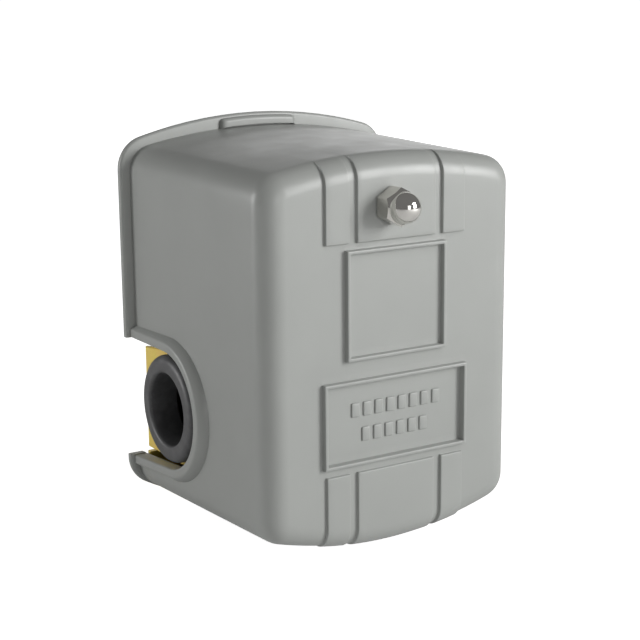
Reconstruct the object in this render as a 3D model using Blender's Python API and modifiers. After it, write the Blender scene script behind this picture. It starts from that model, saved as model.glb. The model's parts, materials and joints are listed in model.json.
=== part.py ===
"""A pipe-mounted pressure switch with a moulded cover, built as separate pieces.

The switch is laid out on the bench: its pressure port points down, x runs along the row of
terminals, y runs from the terminals to the springs, and z is the height above the port's mouth.
The "assembly" empty then turns it a quarter turn about x, so the cover faces -Y, the springs are
above the terminals, and the port's mouth faces +Y with its centre at the origin.
"""

import math

import bmesh
import bpy
from mathutils import Matrix, Vector

MM = 0.001
CLEARANCE = 0.3 * MM

# Cover: an arched box, a little wider at its open rear than at its front
COVER_Y = -6 * MM  # the cover's centre, measured from the port's axis
COVER_REAR = 21.5 * MM
COVER_FRONT = 86.7 * MM
COVER_HALF_WIDTH = 37.8 * MM
COVER_HALF_HEIGHT = 49.7 * MM
COVER_ARCHES = (155 * MM, 108 * MM)  # the radii of the top and of the bottom
COVER_CORNER = 7 * MM
COVER_EDGE = 5.5 * MM
COVER_DRAFT = math.tan(math.radians(1.75))
COVER_WALL = 2.2 * MM
PAD_RELIEF = 1.6 * MM
PAD_INSET = 0.06 * MM
PAD_START = 27.7 * MM
CENTRE_PAD_HALF = 11.1 * MM
SIDE_PAD = (13.4 * MM, 19.8 * MM)
FRAME_RELIEF = 2.1 * MM
FRAME_LAND = 0.9 * MM
LABEL_FLOOR_DROP = 0.4 * MM
FLANGE_THICKNESS = 2.1 * MM
FLANGE_HALF_WIDTH = 40.4 * MM
FLANGE_HALF_HEIGHT = 53.1 * MM
FLANGE_ARCHES = (127 * MM, 72 * MM)
FLANGE_CORNER = 7.5 * MM
BEAD_DROP = 0.5 * MM
BEAD_THICKNESS = 3.6 * MM
BEAD_HALF_LENGTH = 11.5 * MM

TRIM = 1 * MM  # what the rear edge is cut back by, once its pieces are joined

# Cable entries: one in each side tab of the base plate, open to the cover's rear
ENTRY_Y = -24.6 * MM
ENTRY_Z = 42.1 * MM
CUTOUT_RADIUS = 15.2 * MM
CUTOUT_FLARE = 1.7 * MM
LIP_FACE_X = 39.2 * MM
LIP_LAND = 2.0 * MM
LIP_SLOPE = 2.6 * MM
TAB_RADIUS = 14.8 * MM
TAB_TAPER = math.radians(8)
TAB_FACE_X = 35.4 * MM
TAB_HOLE = 11.1 * MM
GROMMET_BORE = 9.3 * MM
GROMMET_RADIUS = 13.85 * MM
GROMMET_FACE_X = 38.9 * MM

# Base plate and what is bolted under it
PLATE_BOTTOM = 22.8 * MM
PLATE_THICKNESS = 1.6 * MM
PLATE_TOP = PLATE_BOTTOM + PLATE_THICKNESS
PLATE_GAP = 0.6 * MM
BEND_OUTER = 2.2 * MM
BEND_RELIEF = 1.5 * MM
PISTON_WINDOW = 13.5 * MM
HOUSING_FLANGE = 27 * MM
HOUSING_TOP = 20.5 * MM
HOUSING_LIP = 16 * MM
PORT_HEX = 22 * MM
PORT_HEX_HEIGHT = 9 * MM
PORT_RADIUS = 5.7 * MM
PORT_DEPTH = 12.5 * MM
HOUSING_SCREW_CIRCLE = 22.5 * MM
HOUSING_SCREW_HOLE = 2.3 * MM
HOUSING_SCREW_ANGLE = math.radians(30)
THROUGH_PLATE = (20 * MM, 30 * MM)  # the span of a cutter that holes the plate

# Lever, springs and their studs
PIVOT_Y = -18 * MM
PIVOT_Z = 29 * MM
PIVOT_PIN = 1.45 * MM
PIVOT_BORE = 1.6 * MM
LEVER_BOTTOM = 30.3 * MM
LEVER_TOP = 31.9 * MM
LEVER_ARM_X = 17.5 * MM
EAR_X = 18.9 * MM
RANGE_X = -2 * MM
RANGE_Y = 29.7 * MM
RANGE = (RANGE_X, RANGE_Y)
DIFFERENTIAL = (16 * MM, 6 * MM)
RANGE_STUD_HOLE = 2.8 * MM
DIFFERENTIAL_STUD_HOLE = 2.3 * MM
STUD_TOP = 94.9 * MM
CAP_NUT_FLATS = 8 * MM

# Terminal block and contacts
BLOCK_HALF_LENGTH = 27 * MM
BLOCK_Y = (-40 * MM, -20 * MM)
BLOCK_Z = (38 * MM, 43 * MM)
BARRIER_TOP = 52 * MM
BARRIER_HALF = 0.9 * MM
TERMINAL_PITCH = (BLOCK_HALF_LENGTH - BARRIER_HALF) / 2
TERMINAL_X = [(index - 1.5) * TERMINAL_PITCH for index in range(4)]
TERMINAL_SCREW_Y = -34 * MM
CONTACT_Y = -27.5 * MM
CARRIER_Y = -37.5 * MM
CARRIER_Z = 32 * MM
CARRIER_BORE = 1.15 * MM
CARRIER_CUT = (-30 * MM, 30 * MM)  # the span of a cutter for its pin
CARRIER_HALF_LENGTH = 22.6 * MM
CARRIER_SPAN = (30.5 * MM, 33.5 * MM)  # the bar's lower and upper face
TERMINAL_SCREW_HOLE = 2.1 * MM
FOOT_SCREW = (24 * MM, -43.8 * MM)
GROUND_SCREW = (28.5 * MM, 6 * MM)
SMALL_SCREW_HOLE = 1.9 * MM


# ---------------------------------------------------------------- scene and helpers


def clear_scene():
    for found in list(bpy.data.objects):
        bpy.data.objects.remove(found)


def new_collection(name):
    made = bpy.data.collections.new(name)
    bpy.context.scene.collection.children.link(made)
    return made


def plastic(name, colour, roughness):
    return finish(name, colour, roughness, 0.0)


def metal(name, colour, roughness):
    return finish(name, colour, roughness, 1.0)


def finish(name, colour, roughness, metallic):
    made = bpy.data.materials.new(name)
    made.use_nodes = True
    shader = made.node_tree.nodes["Principled BSDF"]
    shader.inputs["Base Color"].default_value = (*colour, 1.0)
    shader.inputs["Roughness"].default_value = roughness
    shader.inputs["Metallic"].default_value = metallic
    made.diffuse_color = (*colour, 1.0)
    return made


def add(name, mesh, material=None):
    """Links an object under the assembly. Without a material it is a cutter, which no render shows."""
    obj = bpy.data.objects.new(name, mesh)
    obj.parent = assembly
    if material is None:
        cutters.objects.link(obj)
        obj.hide_render = True
        obj.display_type = "WIRE"
    else:
        parts.objects.link(obj)
        mesh.materials.append(material)
    return obj


def mesh_from(name, build):
    """A mesh that build(bm) fills in."""
    bm = bmesh.new()
    build(bm)
    bmesh.ops.recalc_face_normals(bm, faces=bm.faces)
    mesh = bpy.data.meshes.new(name)
    bm.to_mesh(mesh)
    bm.free()
    mesh.shade_smooth()
    mesh.set_sharp_from_angle(angle=math.radians(35))
    return mesh


def add_box(bm, low, high):
    size = Vector(high) - Vector(low)
    middle = (Vector(high) + Vector(low)) / 2
    placed = Matrix.Translation(middle) @ Matrix.Diagonal((*size, 1))
    bmesh.ops.create_cube(bm, size=1, matrix=placed)


def boxes(name, corners, material=None):
    """One object of one or more boxes, each given by its lowest and highest corner."""

    def build(bm):
        for low, high in corners:
            add_box(bm, low, high)

    return add(name, mesh_from(name, build), material)


def cylinders(name, radius, height_range, places, material=None, sides=24, top_radius=None):
    """One object of upright cylinders, or prisms, standing at each (x, y).

    A prism's first corner points towards +y.
    """
    low, high = height_range

    def build(bm):
        for x, y in places:
            bmesh.ops.create_cone(
                bm,
                cap_ends=True,
                segments=sides,
                radius1=radius,
                radius2=radius if top_radius is None else top_radius,
                depth=high - low,
                matrix=Matrix.Translation((x, y, (low + high) / 2)),
            )

    return add(name, mesh_from(name, build), material)


def rods_along_x(name, radius, x_range, y, z, material=None, sides=24):
    low, high = x_range

    def build(bm):
        turn = Matrix.Rotation(math.radians(90), 4, "Y")
        bmesh.ops.create_cone(
            bm,
            cap_ends=True,
            segments=sides,
            radius1=radius,
            radius2=radius,
            depth=high - low,
            matrix=Matrix.Translation(((low + high) / 2, y, z)) @ turn,
        )

    return add(name, mesh_from(name, build), material)


def turned(name, profile, material=None, at=(0, 0, 0), rotation=(0, 0, 0), sides=32, ring=False):
    """A profile of (radius, height) points, from the top down its outer side, screwed round z."""
    mesh = bpy.data.meshes.new(name)
    count = len(profile)
    edges = [(i, i + 1) for i in range(count - 1)]
    if ring:
        edges.append((count - 1, 0))
    mesh.from_pydata([(radius, 0, height) for radius, height in profile], edges, [])
    obj = add(name, mesh, material)
    obj.location = at
    obj.rotation_euler = rotation
    screw = obj.modifiers.new("turned", "SCREW")
    screw.axis = "Z"
    screw.steps = screw.render_steps = sides
    screw.use_merge_vertices = True
    screw.merge_threshold = 0.00001
    screw.use_smooth_shade = True
    return obj


def prism(name, outline, place, depth_range, material=None):
    """An outline of (a, b) points, extruded over depth_range. place(a, b, depth) gives each point."""
    return loft(name, [(outline, depth) for depth in depth_range], place, material)


def loft(name, sections, place, material=None):
    """Closed sections with equal point counts, joined in a row and capped at both ends."""

    def build(bm):
        loops = [
            [bm.verts.new(place(a, b, depth)) for a, b in outline] for outline, depth in sections
        ]
        for lower, upper in zip(loops, loops[1:]):
            for i, vertex in enumerate(lower):
                following = (i + 1) % len(lower)
                bm.faces.new((vertex, lower[following], upper[following], upper[i]))
        bm.faces.new(loops[0][::-1])
        bm.faces.new(loops[-1])

    return add(name, mesh_from(name, build), material)


def boolean(obj, operation, other):
    modifier = obj.modifiers.new(f"{operation.lower()}_{other.name}", "BOOLEAN")
    modifier.operation = operation
    modifier.object = other
    return modifier


def cut(obj, *others):
    for other in others:
        boolean(obj, "DIFFERENCE", other)


def join(obj, *others):
    for other in others:
        boolean(obj, "UNION", other)


def coil(name, radius, wire, height_range, turns, material, at, axis="Z", per_turn=10, resolution=1):
    """A compression spring: a helix whose end turns lie flat, as a tube along a POLY spline."""
    low, high = height_range[0] + wire, height_range[1] - wire
    closed = 1.0  # turns at each end that lie nearly flat
    steps = round(turns * per_turn)
    curve = bpy.data.curves.new(name, "CURVE")
    curve.dimensions = "3D"
    curve.bevel_depth = wire
    curve.bevel_resolution = resolution
    curve.use_fill_caps = True
    spline = curve.splines.new("POLY")
    spline.points.add(steps)
    lead = 2.2 * wire
    for i in range(steps + 1):
        turn = turns * i / steps
        if turn < closed:
            height = low + lead * turn
        elif turn > turns - closed:
            height = high - lead * (turns - turn)
        else:
            share = (turn - closed) / (turns - 2 * closed)
            height = low + lead + share * (high - low - 2 * lead)
        angle = 2 * math.pi * turn
        spline.points[i].co = (radius * math.cos(angle), radius * math.sin(angle), height, 1)
    obj = bpy.data.objects.new(name, curve)
    obj.parent = assembly
    obj.location = at
    if axis == "Y":
        obj.rotation_euler = (math.radians(-90), 0, 0)
    parts.objects.link(obj)
    curve.materials.append(material)
    return obj


# ---------------------------------------------------------------- outlines


def arc(centre, radius, start, end, steps):
    """Points on an arc, both ends included. The angles are in radians."""
    angles = [start + (end - start) * i / steps for i in range(steps + 1)]
    return [(centre[0] + radius * math.cos(a), centre[1] + radius * math.sin(a)) for a in angles]


def arched_half(half_width, half_height, arch_radius, corner, corner_steps, arch_steps):
    """The upper half of an outline with rounded corners, whose top bows outwards."""
    arch_centre = half_height - arch_radius
    corner_x = half_width - corner
    corner_y = arch_centre + math.sqrt((arch_radius - corner) ** 2 - corner_x**2)
    meeting = math.atan2(corner_y - arch_centre, corner_x)
    right = arc((corner_x, corner_y), corner, 0, meeting, corner_steps)
    top = arc((0, arch_centre), arch_radius, meeting, math.pi - meeting, arch_steps)
    left = [(-x, y) for x, y in reversed(right)]
    return right + top[1:-1] + left


def arched_outline(half_width, half_height, arches, corner, corner_steps=5, arch_steps=8):
    """A rounded rectangle whose top and bottom bow outwards, each with its own radius."""
    upper, lower = (
        arched_half(half_width, half_height, radius, corner, corner_steps, arch_steps)
        for radius in arches
    )
    return upper + [(-x, -y) for x, y in lower]


def cover_outline(height, inset=0.0, coarse=False):
    """The cover's section at a height, moved inwards by inset."""
    shrink = (height - COVER_REAR) * COVER_DRAFT + inset
    return arched_outline(
        COVER_HALF_WIDTH - shrink,
        COVER_HALF_HEIGHT - shrink,
        [radius - shrink for radius in COVER_ARCHES],
        COVER_CORNER - inset,
        *((3, 6) if coarse else (5, 8)),
    )


def flange_outline(drop=0.0):
    return arched_outline(
        FLANGE_HALF_WIDTH - drop,
        FLANGE_HALF_HEIGHT - drop,
        [radius - drop for radius in FLANGE_ARCHES],
        FLANGE_CORNER - drop,
    )


def entry_outline(radius, rear, flare=CUTOUT_FLARE, steps=14):
    """A U about a cable entry, open towards the cover's rear, whose lower leg slopes outwards."""
    bow = arc((ENTRY_Y, ENTRY_Z), radius, 0, math.pi, steps)
    return [(ENTRY_Y + radius, rear), *bow, (ENTRY_Y - radius - flare, rear)]


def tab_outline():
    """A side tab's outline: round about its entry. Its upper edge tapers towards the bend."""
    rear = PLATE_BOTTOM - 3 * MM
    bow = arc((ENTRY_Y, ENTRY_Z), TAB_RADIUS, -TAB_TAPER, math.pi, 14)
    narrowing = (bow[0][1] - rear) * math.tan(TAB_TAPER)
    return [(bow[0][0] - narrowing, rear), *bow, (bow[-1][0], rear)]


def on_cover(x, y, height):
    return (x, y + COVER_Y, height)


def across(y, z, x):
    return (x, y, z)


# ---------------------------------------------------------------- cover and its nut


def cover_body(name, front, edge, inset=0.0, coarse=False, rear=COVER_REAR - TRIM, material=None):
    """The cover's arched block with a rounded front edge, as a loft of parallel outlines."""
    steps = 3 if coarse else 5
    sections = [(cover_outline(rear, inset, coarse=coarse), rear)]
    for i in range(steps + 1):
        angle = math.radians(90) * i / steps
        height = front - edge * (1 - math.sin(angle))
        more = edge * (1 - math.cos(angle))
        sections.append((cover_outline(height, inset + more, coarse=coarse), height))
    return loft(name, sections, on_cover, material)


def cover_pads():
    """Three pads at the top and three at the bottom of the front, which roll over its edges."""
    pads = cover_body("pads", COVER_FRONT + PAD_RELIEF, COVER_EDGE, PAD_INSET)
    low, high = COVER_FRONT - 12 * MM, COVER_FRONT + 5 * MM
    far = COVER_HALF_HEIGHT + 5 * MM
    corners = []
    for left, right in ((-SIDE_PAD[1], -SIDE_PAD[0]), (-CENTRE_PAD_HALF, CENTRE_PAD_HALF), SIDE_PAD):
        for start, end in ((PAD_START, far), (-far, -PAD_START)):
            corners.append(((left, start + COVER_Y, low), (right, end + COVER_Y, high)))
    boolean(pads, "INTERSECT", boxes("pad_areas", corners))
    return pads


def cover_frames():
    """The raised square frame and, under it, the wider label frame. Both enclose a flat field."""
    top = COVER_FRONT + FRAME_RELIEF
    fields = [
        (14.2 * MM, -0.2 * MM, 26.0 * MM, COVER_FRONT),
        (20.7 * MM, -25.7 * MM, -5.0 * MM, COVER_FRONT - LABEL_FLOOR_DROP),
    ]
    outer, inner = [], []
    for half, low, high, floor in fields:
        outer.append(
            ((-half, low + COVER_Y, COVER_FRONT - MM), (half, high + COVER_Y, top))
        )
        land = FRAME_LAND
        inner.append(
            (
                (-half + land, low + land + COVER_Y, floor),
                (half - land, high - land + COVER_Y, top + MM),
            )
        )
    return boxes("frames", outer), boxes("frame_fields", inner)


def cover_flange():
    """The flange round the rear edge, with a thicker bead in the middle of its top and bottom."""
    rear = COVER_REAR
    flange = prism("flange", flange_outline(), on_cover, (rear - TRIM, rear + FLANGE_THICKNESS))
    bead_span = (rear + 0.4 * MM, rear + BEAD_THICKNESS)
    bead = prism("beads", flange_outline(BEAD_DROP), on_cover, bead_span)
    half, far = BEAD_HALF_LENGTH, COVER_HALF_HEIGHT + 9 * MM
    middle = boxes("bead_area", [((-half, COVER_Y - far, 0), (half, COVER_Y + far, COVER_FRONT))])
    boolean(bead, "INTERSECT", middle)
    return flange, bead


def entry_lips():
    """Raised lips round the two side cutouts, sloping down to the cover's wall."""
    rear = COVER_REAR - TRIM
    root = entry_outline(CUTOUT_RADIUS + LIP_LAND + LIP_SLOPE, rear)
    face = entry_outline(CUTOUT_RADIUS + LIP_LAND, rear)
    root_x = COVER_HALF_WIDTH - COVER_WALL
    lips = []
    for side, name in ((-1, "left"), (1, "right")):
        sections = [(root, side * root_x), (face, side * LIP_FACE_X)]
        lips.append(loft(f"lip_{name}", sections, across))
    return lips


def build_cover():
    cover = cover_body("cover", COVER_FRONT, COVER_EDGE, material=grey_plastic)
    frames, fields = cover_frames()
    join(cover, cover_pads(), frames, *cover_flange(), *entry_lips())
    core = cover_body(
        "cover_core",
        COVER_FRONT - COVER_WALL - LABEL_FLOOR_DROP,
        COVER_EDGE - COVER_WALL,
        COVER_WALL,
        coarse=True,
        rear=COVER_REAR - 5 * MM,
    )
    far = LIP_FACE_X + 5 * MM
    cutout = prism(
        "side_cutouts",
        entry_outline(CUTOUT_RADIUS, COVER_REAR - 5 * MM),
        across,
        (-far, far),
    )
    nut_hole = cylinders("nut_hole", 2.9 * MM, (80 * MM, 95 * MM), [RANGE])
    wide = 60 * MM
    trim = boxes("rear_trim", [((-wide, COVER_Y - wide, 0), (wide, COVER_Y + wide, COVER_REAR))])
    cut(cover, fields, core, cutout, nut_hole, trim)
    return cover


def build_cap_nut():
    """A domed cap nut: a chamfered hexagon, a round dome and a blind bore for the stud."""
    seat = COVER_FRONT + PAD_RELIEF + CLEARANCE
    hex_top = seat + 4.6 * MM
    dome_radius = 3.7 * MM
    straight = 1.1 * MM
    corner_radius = CAP_NUT_FLATS / math.sqrt(3)
    nut = cylinders(
        "cap_nut", corner_radius, (seat, hex_top), [RANGE], bright_steel, sides=6
    )
    chamfer = turned(
        "cap_nut_chamfer",
        [
            (0, hex_top + MM),
            (corner_radius - 1.6 * MM, hex_top + 0.6 * MM),
            (corner_radius + 0.1 * MM, hex_top - 0.6 * MM),
            (corner_radius + 0.1 * MM, seat - MM),
            (0, seat - MM),
        ],
        at=(*RANGE, 0),
    )
    boolean(nut, "INTERSECT", chamfer)
    dome_centre = hex_top + straight
    dome = [(dome_radius * math.sin(a), dome_centre + dome_radius * math.cos(a)) for a in quarter(8)]
    dome += [(dome_radius, hex_top - MM), (0, hex_top - MM)]
    join(nut, turned("cap_nut_dome", dome, at=(*RANGE, 0)))
    bore = cylinders("cap_nut_bore", 2.8 * MM, (seat - MM, STUD_TOP + 0.5 * MM), [RANGE])
    cut(nut, bore)
    return nut


def quarter(steps):
    """Angles from 0 to a right angle."""
    return [math.radians(90) * i / steps for i in range(steps + 1)]


# ---------------------------------------------------------------- base plate, port and diaphragm


def build_base_plate():
    """A stamped plate with a tab bent up at each side for a cable entry, and two pivot ears."""
    inset = COVER_WALL + PLATE_GAP
    outline = cover_outline(PLATE_BOTTOM, inset, coarse=True)
    plate = prism("base_plate", outline, on_cover, (PLATE_BOTTOM, PLATE_TOP), zinc_yellow)
    notch = TAB_RADIUS + BEND_RELIEF
    notches = []
    for side in (-1, 1):
        xs = sorted((side * (TAB_FACE_X - BEND_OUTER - BEND_RELIEF), side * 40 * MM))
        low = (xs[0], ENTRY_Y - notch, PLATE_BOTTOM - MM)
        notches.append((low, (xs[1], ENTRY_Y + notch, PLATE_TOP + MM)))
    cut(plate, boxes("bend_notches", notches))
    join(plate, bent_strip(), *pivot_ears())
    small_screws = [*both_sides(FOOT_SCREW), *both_sides(GROUND_SCREW)]
    for name, radius, places, sides in (
        ("piston_window", PISTON_WINDOW, [(0, 0)], 28),
        ("housing_screw_holes", HOUSING_SCREW_HOLE, housing_screw_places(), 12),
        ("range_stud_hole", RANGE_STUD_HOLE, [RANGE], 16),
        ("small_holes", SMALL_SCREW_HOLE, small_screws, 12),
        ("differential_stud_hole", DIFFERENTIAL_STUD_HOLE, [DIFFERENTIAL], 12),
    ):
        cut(plate, cylinders(name, radius, THROUGH_PLATE, places, sides=sides))
    cut(
        plate,
        rods_along_x("entry_holes", TAB_HOLE, (-40 * MM, 40 * MM), ENTRY_Y, ENTRY_Z, sides=28),
        rods_along_x("ear_holes", PIVOT_BORE, (-25 * MM, 25 * MM), PIVOT_Y, PIVOT_Z, sides=16),
    )
    return plate


def both_sides(place):
    x, y = place
    return [(-x, y), (x, y)]


def housing_screw_places():
    across_x = HOUSING_SCREW_CIRCLE * math.cos(HOUSING_SCREW_ANGLE)
    along_y = HOUSING_SCREW_CIRCLE * math.sin(HOUSING_SCREW_ANGLE)
    return [(x * across_x, y * along_y) for x in (-1, 1) for y in (-1, 1)]


def bent_strip():
    """The strip that is bent up at both ends into the side tabs, with round tops."""
    face, inner = TAB_FACE_X, TAB_FACE_X - PLATE_THICKNESS
    top = ENTRY_Z + TAB_RADIUS + MM
    outer_bend = arc(
        (face - BEND_OUTER, PLATE_BOTTOM + BEND_OUTER), BEND_OUTER, math.radians(-90), 0, 5
    )
    inner_radius = BEND_OUTER - PLATE_THICKNESS
    inner_bend = arc(
        (face - BEND_OUTER, PLATE_BOTTOM + BEND_OUTER), inner_radius, 0, math.radians(-90), 4
    )
    right = [*outer_bend, (face, top), (inner, top), *inner_bend]
    section = right + [(-x, z) for x, z in reversed(right)]
    half = TAB_RADIUS + MM

    def place(x, z, y):
        return (x, y, z)

    strip = prism("bent_strip", section, place, (ENTRY_Y - half, ENTRY_Y + half))
    far = TAB_FACE_X + 5 * MM
    boolean(strip, "INTERSECT", prism("tab_shape", tab_outline(), across, (-far, far)))
    return strip


def pivot_ears():
    """The two ears that carry the lever's pin, with round tops."""
    radius = 4 * MM
    ears = []
    outline = [(PIVOT_Y + radius, PLATE_BOTTOM + 0.4 * MM)]
    outline += arc((PIVOT_Y, PIVOT_Z), radius, 0, math.pi, 8)
    outline += [(PIVOT_Y - radius, PLATE_BOTTOM + 0.4 * MM)]
    for side, name in ((-1, "left"), (1, "right")):
        xs = sorted((side * EAR_X, side * (EAR_X + PLATE_THICKNESS)))
        ears.append(prism(f"ear_{name}", outline, across, xs))
    return ears


def build_pressure_housing():
    """The die-cast cup under the plate: a hexagonal port, a neck and a flange that grips the diaphragm."""
    housing = turned(
        "pressure_housing",
        [
            (0, HOUSING_TOP),
            (HOUSING_FLANGE - 0.6 * MM, HOUSING_TOP),
            (HOUSING_FLANGE, HOUSING_TOP - 0.6 * MM),
            (HOUSING_FLANGE, HOUSING_LIP + MM),
            (HOUSING_FLANGE - MM, HOUSING_LIP),
            (17.5 * MM, HOUSING_LIP),
            (16.2 * MM, 14.8 * MM),
            (14.5 * MM, 12.4 * MM),
            (12 * MM, 10.8 * MM),
            (10 * MM, 9.8 * MM),
            (10 * MM, 2 * MM),
            (0, 2 * MM),
        ],
        cast_metal,
        sides=32,
    )
    corner_radius = PORT_HEX / math.sqrt(3)
    hexagon = cylinders("port_hex", corner_radius, (0, PORT_HEX_HEIGHT), [(0, 0)], sides=6)
    hex_edge = 1.2 * MM
    rounding = turned(
        "port_hex_rounding",
        [
            (0, PORT_HEX_HEIGHT + MM),
            (corner_radius - hex_edge, PORT_HEX_HEIGHT + 0.4 * MM),
            (corner_radius + 0.1 * MM, PORT_HEX_HEIGHT - 0.6 * MM),
            (corner_radius + 0.1 * MM, 0.7 * MM),
            (corner_radius - hex_edge - 0.5 * MM, -0.2 * MM),
            (0, -0.2 * MM),
        ],
    )
    boolean(hexagon, "INTERSECT", rounding)
    join(housing, hexagon)
    passage = turned(
        "port_passage",
        [
            (0, HOUSING_TOP + MM),
            (12 * MM, HOUSING_TOP + MM),
            (12 * MM, HOUSING_TOP - 1.6 * MM),
            (3 * MM, HOUSING_TOP - 2.4 * MM),
            (3 * MM, PORT_DEPTH + 1.4 * MM),
            (PORT_RADIUS - 0.3 * MM, PORT_DEPTH),
            (PORT_RADIUS, 1.0 * MM),
            (PORT_RADIUS + 1.2 * MM, -0.2 * MM),
            (0, -0.2 * MM),
        ],
    )
    span = (10 * MM, 25 * MM)
    screw_holes = cylinders("flange_holes", HOUSING_SCREW_HOLE, span, housing_screw_places(), sides=12)
    cut(housing, passage, screw_holes)
    return housing


def build_housing_screws():
    """Four hexagon-head screws, put in from under the flange."""
    head_top = HOUSING_LIP - CLEARANCE
    head_bottom = head_top - 2.8 * MM
    tip = 28 * MM
    for index, place in enumerate(housing_screw_places(), 1):
        name = f"housing_screw_{index}"
        screw = cylinders(name, 3.9 * MM, (head_bottom, head_top), [place], plain_zinc, sides=6)
        join(screw, cylinders(f"{name}_shank", 2 * MM, (head_top - MM, tip), [place], sides=12))


def build_diaphragm():
    """A rubber disc with one shallow convolution, gripped between the housing and the plate."""
    bottom, thickness = HOUSING_TOP + CLEARANCE, 1.6 * MM
    rise, outer, inner = 0.35 * MM, 24.3 * MM, 11.5 * MM
    top = bottom + thickness
    diaphragm = turned(
        "diaphragm",
        [
            (0, top),
            (inner - MM, top),
            (inner, top - rise),
            (inner + MM, top),
            (outer, top),
            (outer, bottom),
            (inner + MM, bottom),
            (inner, bottom - rise),
            (inner - MM, bottom),
            (0, bottom),
        ],
        black_rubber,
    )
    span = (15 * MM, 30 * MM)
    cut(diaphragm, cylinders("diaphragm_holes", HOUSING_SCREW_HOLE, span, housing_screw_places(), sides=12))
    return diaphragm


def build_piston():
    """The pressure plate that rests on the diaphragm and lifts the lever."""
    bottom, top = PLATE_BOTTOM, LEVER_BOTTOM - CLEARANCE
    return turned(
        "piston",
        [
            (0, top),
            (4.6 * MM, top),
            (5.4 * MM, top - 0.8 * MM),
            (6.2 * MM, bottom + 2.4 * MM),
            (11.8 * MM, bottom + 1.8 * MM),
            (12.4 * MM, bottom + 1.2 * MM),
            (12.4 * MM, bottom),
            (0, bottom),
        ],
        moulded_nylon,
    )


# ---------------------------------------------------------------- lever, springs and adjusters


def build_lever():
    """The range lever: a stamped plate with two down-turned arms that hang on the pivot pin."""
    wide, narrow = 22 * MM, LEVER_ARM_X
    near, shoulder, far = -21.5 * MM, -8 * MM, 38 * MM
    corner = 5 * MM
    tongue_half, tongue_bottom = 4 * MM, 26.6 * MM
    rib_inner, rib_outer, rib_end, rib_height = 18.9 * MM, 20.5 * MM, 34 * MM, 2 * MM
    rib_starts = {-1: 0, 1: 14 * MM}  # the right rib is shorter, to clear the differential spring
    right = [(narrow, near), (narrow, shoulder - 1.5 * MM), (wide, shoulder + 1.5 * MM)]
    right += arc((wide - corner, far - corner), corner, 0, math.radians(90), 5)
    outline = right + [(-x, y) for x, y in reversed(right)]

    def place(x, y, z):
        return (x, y, z)

    lever = prism("range_lever", outline, place, (LEVER_BOTTOM, LEVER_TOP), plain_zinc)
    arm_outline = [(-11 * MM, LEVER_TOP - 0.5 * MM), (near, LEVER_TOP - 0.5 * MM)]
    arm_outline += arc((PIVOT_Y, PIVOT_Z), 2.7 * MM, math.radians(-160), math.radians(-20), 6)
    arms = []
    for side, name in ((-1, "left"), (1, "right")):
        xs = sorted((side * (LEVER_ARM_X - PLATE_THICKNESS), side * LEVER_ARM_X))
        arms.append(prism(f"lever_arm_{name}", arm_outline, across, xs))
    low = (-tongue_half, near - 1.1 * MM, tongue_bottom)
    tongue = boxes("toggle_tongue", [(low, (tongue_half, near + 0.4 * MM, LEVER_TOP - 0.1 * MM))])
    ribs = []
    for side, start in rib_starts.items():
        left, right = sorted((side * rib_inner, side * rib_outer))
        low = (left, start, LEVER_TOP - 0.5 * MM)
        ribs.append((low, (right, rib_end, LEVER_TOP + rib_height)))
    join(lever, *arms, tongue, boxes("lever_ribs", ribs))
    through = (25 * MM, 40 * MM)
    cut(
        lever,
        cylinders("lever_range_hole", 4.2 * MM, through, [RANGE], sides=20),
        cylinders("lever_differential_hole", 3.2 * MM, through, [DIFFERENTIAL], sides=16),
        rods_along_x("lever_bore", PIVOT_BORE, (-30 * MM, 30 * MM), PIVOT_Y, PIVOT_Z, sides=16),
    )
    return lever


def build_pin(name, radius, half_length, y, z, head):
    """A headed pin along x."""
    head_length = 0.8 * MM
    sides = 16
    return turned(
        name,
        [
            (0, half_length),
            (head, half_length),
            (head, half_length - head_length),
            (radius, half_length - head_length),
            (radius, head_length - half_length),
            (head, head_length - half_length),
            (head, -half_length),
            (0, -half_length),
        ],
        plain_zinc,
        at=(0, y, z),
        rotation=(0, math.radians(90), 0),
        sides=sides,
    )


def build_stud(name, place, radius, collar, top, riveted):
    """A threaded stud with a collar on the plate. A riveted one also has a head under it."""
    collar_low = PLATE_TOP + CLEARANCE
    low = PLATE_BOTTOM + 0.1 * MM
    profile = [
        (0, top),
        (radius - 0.5 * MM, top),
        (radius, top - 0.5 * MM),
        (radius, collar_low + 2.2 * MM),
        (collar, collar_low + 2.2 * MM),
        (collar, collar_low),
        (radius, collar_low),
    ]
    if riveted:
        head_top, head_bottom = PLATE_BOTTOM - CLEARANCE, PLATE_BOTTOM - 1.5 * MM
        profile += [
            (radius, head_top),
            (3.8 * MM, head_top),
            (3.2 * MM, head_bottom),
            (0, head_bottom),
        ]
    else:
        profile += [(radius, low), (0, low)]
    return turned(name, profile, plain_zinc, at=(*place, 0), sides=20)


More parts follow.
